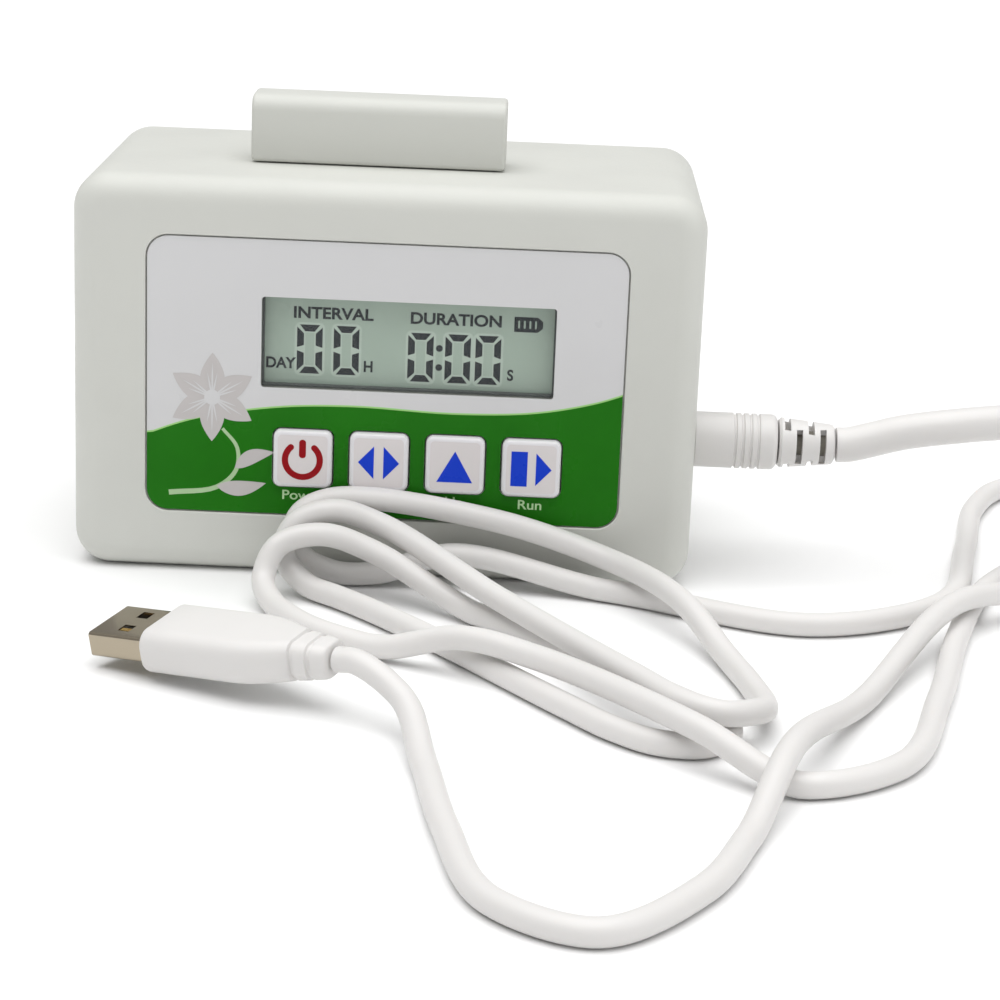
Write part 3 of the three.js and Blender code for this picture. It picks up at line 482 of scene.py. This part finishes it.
def make_front_shell():
    shell = case_body("case_front_shell")
    inside = plate(
        "cutter", CASE_WIDTH - 2 * WALL, CASE_HEIGHT - 2 * WALL, CASE_CORNER - WALL,
        0, CASE_HEIGHT / 2, FRONT_Y + FRONT_WALL, REAR_Y + 1,
    )
    recess = plate(
        "cutter", LABEL_SIZE[0] + 2 * GAP, LABEL_SIZE[1] + 2 * GAP, LABEL_CORNER + GAP,
        0, LABEL_Z, FRONT_Y - 1, FRONT_Y + 1,
    )
    window = cuboid(
        WINDOW["x"] - WINDOW["width"] / 2, WINDOW["x"] + WINDOW["width"] / 2, FRONT_Y, FRONT_Y + 4,
        WINDOW["z"] - WINDOW["height"] / 2, WINDOW["z"] + WINDOW["height"] / 2,
    )
    lens_pocket = plate(
        "cutter", WINDOW["width"] + 4, WINDOW["height"] + 3.6, 1.6, WINDOW["x"], WINDOW["z"],
        FRONT_Y, FRONT_Y + 2.2,
    )
    carve(shell, [
        cuboid(-80, 80, PARTING_Y, REAR_Y + 5, -5, CASE_HEIGHT + 5),
        inside, recess, lens_pocket, window,
        *[key_hole(name, FRONT_Y, FRONT_Y + 4) for name in KEYS],
        bar("x", 4.3, CASE_WIDTH / 2 - WALL - 1, CASE_WIDTH / 2 + 1, JACK_Y, JACK_Z),
        *[bar("z", 3.6, CASE_HEIGHT - 8, CASE_HEIGHT + 1, x, HOSE_Y) for x in HOSE_X],
    ])
    finish_piece(shell, CASE, "case", ["front_shell"], edge=0.22)


def make_rear_cover():
    cover = case_body("case_rear_cover")
    carve(cover, [cuboid(-80, 80, FRONT_Y - 5, PARTING_Y + GAP, -5, CASE_HEIGHT + 5)])
    wall = BAY["wall"]
    carve(cover, [cuboid(
        -BAY["x"] - wall, BAY["x"] + wall, BAY["y"] - wall, PARTING_Y + 1, BAY["z0"] - wall, BAY["z1"] + wall,
    )], "UNION")
    door_low, door_high = box_mm("battery_door")
    middle = (door_low.z + door_high.z) / 2
    height = door_high.z - door_low.z
    pocket = plate(
        "cutter", door_high.x - door_low.x + 2 * GAP, height + 2 * GAP, 1.8, 0, middle,
        REAR_Y - DOOR_THICKNESS - GAP, REAR_Y + 1,
    )
    head = (SCREW_POCKET["radius"], REAR_Y - SCREW_POCKET["depth"], REAR_Y + 1)
    shank = (SCREW_POCKET["shank"], PARTING_Y - 1, REAR_Y - 1)
    carve(cover, [
        cuboid(-BAY["x"], BAY["x"], BAY["y"], REAR_Y + 5, BAY["z0"], BAY["z1"]),
        pocket,
        *[bar("y", *head, x, z) for x, z in SCREWS],
        *[bar("y", *shank, x, z) for x, z in SCREWS],
        bar("y", 7, REAR_Y - 1.4, REAR_Y + 1, 0, door_high.z + 1),
    ])
    finish_piece(cover, CASE, "case", ["rear_cover"], edge=0.2)


def make_door():
    low, high = box_mm("battery_door")
    width = high.x - low.x
    height = high.z - low.z
    middle = (low.z + high.z) / 2
    door = plate(
        "battery_door_skin", width, height, 1.5, 0, middle, REAR_Y - DOOR_THICKNESS, REAR_Y, 1.05, 1.05,
    )
    carve(door, [cuboid(-6, 6, low.y, REAR_Y - 1.8, 63.5, 64.7)], "UNION")      # the snap tab
    grips = [
        plate("cutter", 18, 1.1, 0.5, 0, 58 - 2.2 * step, REAR_Y - 0.35, REAR_Y + 1)
        for step in range(4)
    ]
    carve(door, grips)
    finish_piece(door, CASE, "door", ["battery_door"], edge=0.12)


make_front_shell()
make_rear_cover()
make_door()


# ------------------------------------------------------------------ label and its prints
FILM_FRONT = label_low.y
FILM_BACK = label_high.y
PRINT = 0.02                    # thickness of a printed layer
WAVE = [
    (-46, 26.4), (-36, 30.1), (-20.7, 33), (-6, 33.8), (13.2, 33.2), (28.3, 34), (39.4, 36.3), (46, 38.6),
]


def wave_line():
    route = smooth_route([(x, 0, z) for x, z in WAVE], 8)
    return [(point.x, point.z) for point in route]


def label_bottom():
    """The label's outline from its right side round the bottom to its left side."""
    outline = rounded(*LABEL_SIZE, LABEL_CORNER, 10, 0, LABEL_Z)
    right = outline[:11]
    left = outline[33:]
    return list(reversed(right)), list(reversed(left))


def disc(x, z, radius, sides):
    turns = [2 * math.pi * side / sides for side in range(sides)]
    return [(x + radius * math.cos(turn), z + radius * math.sin(turn)) for turn in turns]


def ring_arc(radius, thickness, gap_degrees, x, z):
    """An open ring with round ends; the gap is centred on top."""
    start = HALF_PI + math.radians(gap_degrees)
    end = start + 2 * math.pi - 2 * math.radians(gap_degrees)
    outline = []
    for side, first, last in ((1, start, end), (-1, end, start)):
        for step in range(33):
            angle = first + (last - first) * step / 32
            reach = radius + side * thickness / 2
            outline.append((x + reach * math.cos(angle), z + reach * math.sin(angle)))
        cap = (x + radius * math.cos(last), z + radius * math.sin(last))
        opening = last if side > 0 else last + math.pi
        for step in range(1, 8):
            angle = opening + math.pi * step / 8
            reach = thickness / 2
            outline.append((cap[0] + reach * math.cos(angle), cap[1] + reach * math.sin(angle)))
    return outline


def leaf(x, z, length, width, degrees, steps=12, bend=0.0):
    """A pointed leaf or petal that starts at (x, z); bend curves its middle line."""
    turn = math.radians(degrees)
    upper = []
    lower = []
    for step in range(steps + 1):
        along = step / steps
        half = width / 2 * math.sin(math.pi * along ** 0.8) ** 0.9 if 0 < step < steps else 0.0
        middle = bend * math.sin(math.pi * along)
        for side, run in ((1, upper), (-1, lower)):
            across = middle + side * half
            px = x + along * length * math.cos(turn) - across * math.sin(turn)
            pz = z + along * length * math.sin(turn) + across * math.cos(turn)
            run.append((px, pz))
    return upper + list(reversed(lower[1:-1]))


def ribbon(points, width, taper=1.0):
    """A strip along a smooth line of (x, z) points."""
    line = smooth_route([(x, 0, z) for x, z in points], 6)
    upper = []
    lower = []
    for at, point in enumerate(line):
        ahead = line[min(at + 1, len(line) - 1)] - line[max(at - 1, 0)]
        normal = Vector((-ahead.z, 0, ahead.x)).normalized()
        half = width / 2 * (1 + (taper - 1) * at / (len(line) - 1))
        upper.append((point.x + normal.x * half, point.z + normal.z * half))
        lower.append((point.x - normal.x * half, point.z - normal.z * half))
    return upper + list(reversed(lower))


def key_outlines(margin):
    outlines = []
    for name in KEYS:
        x, z, size = key_place(name)
        outlines.append(rounded(size + 2 * margin, size + 2 * margin, 1.4 + margin, 6, x, z))
    return outlines


def make_label():
    window = rounded(WINDOW["width"], WINDOW["height"], 0.6, 3, WINDOW["x"], WINDOW["z"])
    outline = rounded(*LABEL_SIZE, LABEL_CORNER, 10, 0, LABEL_Z)
    flat(
        "label_film", [outline, window, *key_outlines(GAP)], FILM_BACK, FILM_BACK - FILM_FRONT,
        FILM, "case", ["front_label"],
    )
    half = LABEL_SIZE[0] / 2
    wave = [(x, z) for x, z in wave_line() if -half < x < half]
    left_z = wave[0][1] - 0.15
    right_z = wave[-1][1] + 0.1
    right, left = label_bottom()
    field = [(-half, left_z), *wave, (half, right_z), *right, *left]
    flat("print_field", [field, *key_outlines(GAP)], FILM_FRONT, PRINT, GREEN, "case")
    edge = [(-half, left_z), *wave, (half, right_z)]
    strip = edge + [(x, z + 0.32) for x, z in reversed(edge)]
    flat("print_field_edge", [strip], FILM_FRONT, PRINT, GREEN_EDGE, "case")

    # A plain six-petalled flower on a curved stem with two leaves.
    over = FILM_FRONT - PRINT
    centre = (-32.4, 34.6)
    for number in range(6):
        petal = leaf(*centre, 8.6, 4.6, 90 + 60 * number)
        flat(
            f"print_petal_{number + 1}", [petal], over, PRINT * (1 + 0.2 * number), MOTIF_GREY, "case",
        )
        for spread in (-11, 0, 11):
            vein = leaf(*centre, 6.8 if spread == 0 else 4.9, 0.32, 90 + 60 * number + spread)
            flat(
                f"print_vein_{number + 1}_{spread + 12}", [vein], over - 2.2 * PRINT, PRINT, FILM, "case",
            )
    heart = disc(*centre, 1.5, 24)
    flat("print_flower_heart", [heart], over - 3.4 * PRINT, PRINT, FILM, "case")
    stem = ribbon([(-30.4, 28.6), (-27.6, 25), (-27.8, 20.5), (-31.5, 17), (-40.5, 15.6)], 0.6, 1.7)
    flat("print_stem", [stem], over, PRINT, MOTIF_PALE, "case")
    leaves = [leaf(-28, 21, 8.2, 2.8, 24, bend=0.8), leaf(-31.4, 17.2, 9.4, 3.0, 6, bend=-0.7)]
    for number, outline in enumerate(leaves):
        flat(f"print_leaf_{number + 1}", [outline], over - PRINT, PRINT, MOTIF_GREY, "case")

    captions = ["Power", "Mode", "Up", "Run"]
    for name, word in zip(KEYS, captions):
        x, z, size = key_place(name)
        lettering(
            f"print_caption_{name}", word, x, z - size / 2 - 2.7, 1.8, over, CAPTION, "case",
            1.15, 0.02,
        )


make_label()


# ------------------------------------------------------------------ keys
def make_key(name, symbol_outlines, ink):
    low, high = box_mm(f"key_{name}")
    x, z, size = key_place(name)
    body = f"{name}_key"
    flange_y = FRONT_Y + FRONT_WALL + GAP
    cap = plate(f"key_{name}_cap", size, size, 1.4, x, z, low.y, flange_y + 1.4, front=0.7, steps=8, turns=5)
    flange = plate("cutter", size + 2.2, size + 2.2, 1.4, x, z, flange_y, flange_y + 1)
    stem = bar("y", 1.7, flange_y + 0.5, high.y, x, z)
    carve(cap, [flange, stem], "UNION")
    finish_piece(cap, KEY_CAP_PAINTED_HIGHLIGHT, body, [f"key_{name}"])
    # The darker face leaves a rim of the paler cap colour on the rounded edge, a painted highlight.
    face = rounded(size - 1.7, size - 1.7, 0.8, 6, x, z)
    flat(f"key_{name}_face", [face], low.y, PRINT, KEY_FACE, body)
    for number, outline in enumerate(symbol_outlines):
        placed = [(x + px, z + pz) for px, pz in outline]
        flat(f"key_{name}_symbol_{number + 1}", [placed], low.y - PRINT, PRINT, ink, body)


SYMBOLS = {
    "power": ([ring_arc(3.3, 1.2, 42, 0, -0.1), rounded(1.3, 3.6, 0.6, 5, 0, 2.1)], KEY_RED),
    "setting": ([
        [(-3.9, 0), (-0.9, -3.2), (-0.9, 3.2)],
        [(3.9, 0), (0.9, 3.2), (0.9, -3.2)],
    ], KEY_BLUE),
    "increase": ([[(-3.4, -3.2), (3.4, -3.2), (0, 2.9)]], KEY_BLUE),
    "start": ([
        [(-3.8, -3.4), (-0.7, -3.4), (-0.7, 3.4), (-3.8, 3.4)],
        [(0.9, -3.2), (3.9, 0), (0.9, 3.2)],
    ], KEY_BLUE),
}
for key_name, (outlines, ink) in SYMBOLS.items():
    make_key(key_name, outlines, ink)


# ------------------------------------------------------------------ display
glass_low, glass_high = box_mm("display_glass")
DIGIT = {"width": 4.8, "height": 9.4, "stroke": 1.3}


def digit_segments(x, z):
    """The six lit segments of a seven-segment nought."""
    half_width = DIGIT["width"] / 2
    half_height = DIGIT["height"] / 2
    stroke = DIGIT["stroke"]
    outlines = []
    for sz in (1, -1):
        outlines.append([
            (x - half_width + 0.5, z + sz * half_height), (x + half_width - 0.5, z + sz * half_height),
            (x + half_width - stroke - 0.2, z + sz * (half_height - stroke)),
            (x - half_width + stroke + 0.2, z + sz * (half_height - stroke)),
        ])
        for sx in (1, -1):
            outlines.append([
                (x + sx * half_width, z + sz * (half_height - 0.45)),
                (x + sx * (half_width - stroke), z + sz * (half_height - stroke - 0.4)),
                (x + sx * (half_width - stroke), z + sz * 0.75),
                (x + sx * half_width, z + sz * 0.3),
            ])
    return outlines


def make_display():
    glass = cuboid(glass_low.x, glass_high.x, glass_low.y, glass_high.y, glass_low.z, glass_high.z)
    glass.name = "display_glass_pane"
    finish_piece(glass, LCD, "case", ["display_glass"], edge=0.15)
    y = glass_low.y
    digits = [(-14.5, 43.9), (-7.6, 43.9), (6.4, 43.2), (13.4, 43.2), (19.1, 43.2)]
    for number, (x, z) in enumerate(digits):
        # Each digit sits on a paler ring, a painted glow round the dark segments.
        painted_glow = [
            rounded(DIGIT["width"] + 0.9, DIGIT["height"] + 0.9, 1.1, 5, x, z),
            rounded(DIGIT["width"] - 3.1, DIGIT["height"] - 3.1, 0.3, 5, x, z),
        ]
        flat(f"display_painted_glow_{number + 1}", painted_glow, y, PRINT, LCD_PAINTED_GLOW, "case")
        segments = digit_segments(x, z)
        flat(f"display_digit_{number + 1}", segments, y - PRINT, PRINT, LCD_INK, "case")
    dots = [disc(9.9, dot_z, 0.65, 16) for dot_z in (45.1, 41.4)]
    flat("display_colon", dots, y - PRINT, PRINT, LCD_INK, "case")
    words = [
        ("header_left", "INTERVAL", -10.2, 49.9, 2.1, 1.1),
        ("header_right", "DURATION", 12.9, 49.7, 2.1, 1.1),
        ("unit_days", "DAY", -20, 40.1, 2.0, 0.95), ("unit_hours", "H", -3.4, 40, 2.0, 0.9),
        ("unit_seconds", "S", 23.4, 39.5, 2.0, 0.9),
    ]
    for name, text, x, z, height, stretch in words:
        lettering(
            f"display_{name}", text, x, z, height, y - PRINT, LCD_INK, "case", stretch, 0.045,
        )
    battery = [
        [(23.8, 48.9), (28.2, 48.9), (29.2, 49.7), (29.2, 51), (28.2, 51.8), (23.8, 51.8)],
        *[rounded(0.35, 1.5, 0.1, 2, 24.7 + 1.05 * gap_number, 50.35) for gap_number in range(4)],
    ]
    flat("display_battery_sign", battery, y - PRINT, PRINT, LCD_INK, "case")

    lens_low, lens_high = box_mm("display_window")
    lens = plate(
        "display_lens", lens_high.x - lens_low.x, lens_high.z - lens_low.z, 1.2, WINDOW["x"], WINDOW["z"],
        lens_low.y, lens_high.y,
    )
    finish_piece(lens, LENS, "case", ["display_window"], edge=0.1)

    # A dark gasket lines the window between the lens and the glass.
    border = [
        rounded(WINDOW["width"] - 0.05, WINDOW["height"] - 0.05, 0.6, 3, WINDOW["x"], WINDOW["z"]),
        rounded(WINDOW["width"] - 0.7, WINDOW["height"] - 0.7, 0.4, 3, WINDOW["x"], WINDOW["z"]),
    ]
    depth = glass_low.y - 0.1 - lens_high.y
    flat("display_gasket", border, glass_low.y - 0.05, depth, GASKET, "case")


make_display()


# ------------------------------------------------------------------ hose ports
def make_port_block():
    low, high = box_mm("hose_port_block")
    base = CASE_HEIGHT + GAP
    profile = [(low.y, base), (high.y, base)]
    for step in range(7):
        angle = HALF_PI * step / 6
        profile.append((high.y - 1 + math.cos(angle), high.z - 1 + math.sin(angle)))
    for step in range(11):
        angle = HALF_PI * (1 + step / 10)
        profile.append((low.y + 3 + 3 * math.cos(angle), high.z - 3 + 3 * math.sin(angle)))
    block = loft("port_block", [[(x, y, z) for y, z in profile] for x in (low.x, high.x)])
    barb_z = 82.5
    carve(block, [bar("z", 3.2, CASE_HEIGHT - 6, base + 1, x, HOSE_Y) for x in HOSE_X], "UNION")
    carve(block, [
        *[bar("z", 1.3, CASE_HEIGHT - 7, barb_z + 1.3, x, HOSE_Y) for x in HOSE_X],
        *[bar("y", 2.6, high.y - 3, high.y + 1, x, barb_z) for x in HOSE_X],
    ])
    finish_piece(block, CASE, "case", ["hose_port_block"], edge=0.7)


def make_barb(name):
    low, high = box_mm(name)
    centre = ((low.x + high.x) / 2, (low.z + high.z) / 2)
    face = low.y + 2.7
    profile = [
        (low.y, 1.3), (low.y, 2.3), (face + 0.3, 2.3), (face + 0.3, 3.4), (face + 1.6, 3.4),
        (face + 1.6, 2.3),
    ]
    for step in (4, 7, 10):
        profile += [(face + step - 0.4, 2.3), (face + step - 0.4, 2.8), (face + step + 1.4, 2.2)]
    profile += [(high.y, 2.1), (high.y, 1.3)]
    barb = turned(f"{name}_fitting", profile, "y", centre, 40, loop=True)
    finish_piece(barb, CASE, "case", [name], edge=0.08)


make_port_block()
make_barb("inlet_barb")
make_barb("outlet_barb")


# ------------------------------------------------------------------ DC plug
def make_dc_plug():
    centre = (JACK_Y, JACK_Z)
    low, high = box_mm("dc_plug_body")
    radius = (high.z - low.z) / 2
    profile = [(low.x + 3.3, 3.05), (low.x, 3.05), (low.x, radius - 0.3), (low.x + 0.3, radius)]
    for step in range(4):
        x = 67 + step * 1.5
        profile += [(x, radius), (x + 0.2, radius - 0.35), (x + 0.5, radius - 0.35), (x + 0.7, radius)]
    for step in range(7):
        angle = HALF_PI * step / 6
        profile.append((high.x - 1.2 + 1.2 * math.sin(angle), radius - 1.2 + 1.2 * math.cos(angle)))
    profile += [(high.x, 0.4), (low.x + 3.3, 0.4)]
    body = turned("plug_body", profile, "x", centre, 64, loop=True)
    finish_piece(body, LEAD, "power_lead", ["dc_plug_body"], angle=30)

    low, high = box_mm("dc_plug_strain_relief")
    tip = high.x
    relief = turned("plug_strain_relief", [
        (low.x, 4.4), (low.x + 0.5, 4.9), (tip - 0.9, 3.95), (tip - 0.3, 3.75), (tip, 3.2),
    ], "x", centre, 64)
    slots = []
    for step in range(4):
        x = low.x + 1.0 + step * 2.3
        for side in (-1, 1):
            near, far = sorted((side * 1.2, side * 6))
            if step % 2 == 1:
                slots.append(cuboid(x, x + 1.2, JACK_Y + near, JACK_Y + far, JACK_Z - 3.4, JACK_Z + 3.4))
            else:
                slots.append(cuboid(x, x + 1.2, JACK_Y - 3.4, JACK_Y + 3.4, JACK_Z + near, JACK_Z + far))
    carve(relief, slots)
    finish_piece(relief, LEAD, "power_lead", ["dc_plug_strain_relief"], edge=0.15)
    # A dark grey rod inside the strain relief fills the bottom of each slot, painted shade standing in for
    # the shadow between the ribs.
    slot_shade_rod = turned("plug_relief_painted_shade", [(low.x + 0.8, 2.4), (tip - 1, 2.4)], "x", centre, 32)
    finish_piece(slot_shade_rod, SLOT_SHADE, "power_lead")

    low, high = box_mm("dc_plug_barrel")
    barrel = turned("plug_barrel", [
        (low.x + 0.4, 2.75), (high.x, 2.75), (high.x, 1.3), (low.x + 0.2, 1.3), (low.x, 1.6), (low.x, 2.4),
    ], "x", centre, 48, loop=True)
    finish_piece(barrel, NICKEL, "power_lead", ["dc_plug_barrel"])


def make_boot():
    route = smooth_route([
        (87.2, -13, 25.8), (89.5, -13, 25.9), (94, -13, 27.1), (100, -13, 28.8), (112, -13, 30.8),
        (123, -12.5, 32),
    ], 8)
    rings = []
    last = len(route) - 1
    for at, place in enumerate(route):
        ahead = (route[min(at + 1, last)] - route[max(at - 1, 0)]).normalized()
        side = Vector((0, 1, 0)) - ahead * ahead.y
        side.normalize()
        top = ahead.cross(side)
        rings.append([
            place + 3.4 * (side * math.cos(2 * math.pi * turn / 40) + top * math.sin(2 * math.pi * turn / 40))
            for turn in range(40)
        ])
    boot = loft("plug_boot", rings)
    finish_piece(boot, LEAD, "power_lead", ["dc_plug_boot"], edge=0.6, angle=60)


make_dc_plug()
make_boot()


# ------------------------------------------------------------------ USB plug
USB_PLACE = (
    Matrix.Translation((-33.4, -86, 6.2)) @ Matrix.Rotation(math.radians(-28), 4, "Z")
    @ Matrix.Rotation(math.radians(-5.5), 4, "Y") @ Matrix.Rotation(math.radians(8), 4, "X")
)


def cross_section(x, width, height, corner, steps=6, z=0.0):
    return [(x, py, pz + z) for py, pz in rounded(width, height, corner, steps)]


def make_usb():
    shell = loft("usb_plug_shell", [
        cross_section(-11.6, 12, 4.5, 0.6), cross_section(3, 12, 4.5, 0.6),
        cross_section(3, 11.4, 3.9, 0.35), cross_section(-11.6, 11.4, 3.9, 0.35),
    ], loop=True)
    carve(shell, [cuboid(-6.9, -4.6, y - 1.2, y + 1.2, 1.4, 3.2) for y in (-2.6, 2.9)])
    finish_piece(shell, NICKEL, "power_lead", ["usb_shell"], edge=0.06, matrix=USB_PLACE)

    tongue = loft("usb_plug_tongue", [
        cross_section(-11, 10.8, 1.6, 0.2, 3, -0.9), cross_section(1.7, 10.8, 1.6, 0.2, 3, -0.9),
    ])
    finish_piece(tongue, BLACK, "power_lead", ["usb_tongue"], matrix=USB_PLACE)
    for number, y in enumerate((-3.5, -1, 1, 3.5)):
        strip = cuboid(-10.4, -2, y - 0.5, y + 0.5, -0.1, 0.02)
        strip.name = f"usb_plug_contact_{number + 1}"
        finish_piece(strip, GOLD, "power_lead", matrix=USB_PLACE)

    # Half width and half height of the overmould along the plug.
    stations = [
        (0, 7.2, 3.5), (0.25, 7.45, 3.8), (0.8, 7.6, 4.0), (6, 7.6, 4.0), (14, 7.6, 4.0), (18.5, 7.55, 4.0),
        (21, 7.2, 3.95), (23.5, 6.5, 3.85), (26, 5.5, 3.75), (28, 4.6, 3.65), (28.2, 4.0, 3.2),
        (28.8, 3.95, 3.15), (29.1, 4.35, 3.5), (31.1, 4.05, 3.35), (31.3, 3.6, 2.95), (31.9, 3.55, 2.9),
        (32.2, 3.85, 3.2), (33.9, 3.5, 3.0), (34.4, 3.25, 2.85), (34.6, 2.95, 2.6),
    ]
    body = loft("usb_plug_body", [
        cross_section(x, 2 * half_width, 2 * half_height, min(half_height * 0.72, half_width * 0.9), 8)
        for x, half_width, half_height in stations
    ])
    carve(body, [cuboid(-1, 3.3, -6.3, 6.3, -2.55, 2.55)])
    finish_piece(body, LEAD, "power_lead", ["usb_body"], matrix=USB_PLACE, angle=50)


make_usb()


# ------------------------------------------------------------------ cells
def make_cell(number):
    """A cell as a steel can in a printed sleeve; the first and third stand with the plus end up."""
    low, high = box_mm(f"battery_{number}")
    centre = ((low.x + high.x) / 2, (low.y + high.y) / 2)
    radius = (high.y - low.y) / 2
    middle = (low.z + high.z) / 2
    half = (high.z - low.z) / 2
    up = 1 if number % 2 == 1 else -1
    sleeve = [
        (0.9 - half, radius - 0.3), (1.2 - half, radius), (half - 1.9, radius), (half - 1.65, radius - 0.9),
    ]
    can = [
        (-half, 5.4), (0.5 - half, radius - 0.4), (half - 1.7, radius - 1), (half - 1.5, 5.4),
        (half - 1.3, 2.7), (half - 0.3, 2.7), (half, 2.3),
    ]
    for part, profile, material, slot in (("sleeve", sleeve, SLEEVE, "cell_sleeve"),
                                          ("can", can, CONTACT, "contact_steel")):
        stood = [(middle + up * place, reach) for place, reach in profile]
        piece = turned(f"battery_{number}_{part}", stood, "z", centre, 48)
        replaced = [f"battery_{number}"] if part == "sleeve" else []
        finish_piece(piece, material, "case", replaced)


for cell_number in range(1, 5):
    make_cell(cell_number)


# ------------------------------------------------------------------ CAD pieces shown as they are
FINISHES = {
    "case_screw_1": SCREW, "case_screw_2": SCREW, "case_screw_3": SCREW, "case_screw_4": SCREW,
    "display_frame": BLACK, "control_board": BOARD, "motor_can": STEEL, "motor_end_cap": BLACK,
    "pump_rotor": STEEL, "pump_housing": NYLON, "pump_wobble_plate": BLACK, "pump_diaphragm": RUBBER,
    "pump_valve_plate": NYLON, "pump_cover": NYLON, "pump_saddle": RUBBER, "inlet_hose": SILICONE,
    "outlet_hose": SILICONE, "motor_lead": WIRE, "battery_lead": WIRE, "dc_jack": BLACK,
}
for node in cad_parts:
    if node.startswith("switch_"):
        FINISHES[node] = BLACK
    if node.startswith("contact_"):
        FINISHES[node] = CONTACT
for node, finish in FINISHES.items():
    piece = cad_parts[node]
    piece.data.materials.clear()
    piece.data.materials.append(finish)
    shade(piece)


# ------------------------------------------------------------------ stage and light
def make_stage():
    reach = 6
    floor = solid(
        "floor",
        [(x * reach, y * reach, z) for z in (-0.02, 0) for x, y in ((-1, -1), (1, -1), (1, 1), (-1, 1))],
        [(0, 3, 2, 1), (4, 5, 6, 7), (0, 1, 5, 4), (1, 2, 6, 5), (2, 3, 7, 6), (3, 0, 4, 7)],
    )
    paper = surface("floor_paper", srgb(246, 246, 246), 0.7, grain=1.5, depth=0.01, mottle=0.01)
    floor.data.materials.append(paper)


def area_light(name, place, aim, size, power):
    data = bpy.data.lights.new(name, "AREA")
    data.shape = "RECTANGLE"
    data.size, data.size_y = size
    data.energy = power
    light = bpy.data.objects.new(name, data)
    bpy.context.scene.collection.objects.link(light)
    light.location = place
    light.rotation_euler = (Vector(aim) - Vector(place)).to_track_quat("-Z", "Y").to_euler()


def make_light():
    world = bpy.data.worlds.new("studio")
    world.use_nodes = True
    background = world.node_tree.nodes["Background"]
    background.inputs["Color"].default_value = (1, 1, 1, 1)
    background.inputs["Strength"].default_value = 0.38
    bpy.context.scene.world = world
    overhead = bpy.data.lights.new("overhead_light", "SUN")
    overhead.energy = 2.8
    overhead.angle = math.radians(70)
    lamp = bpy.data.objects.new("overhead_light", overhead)
    bpy.context.scene.collection.objects.link(lamp)
    lamp.rotation_euler = Vector((0.06, 0.09, -1)).to_track_quat("-Z", "Y").to_euler()
    area_light("fill_light", (1.1, -0.4, 0.6), (0.03, -0.03, 0.03), (0.8, 0.8), 1.8)
    bpy.context.scene.view_settings.view_transform = "Standard"


make_stage()
make_light()
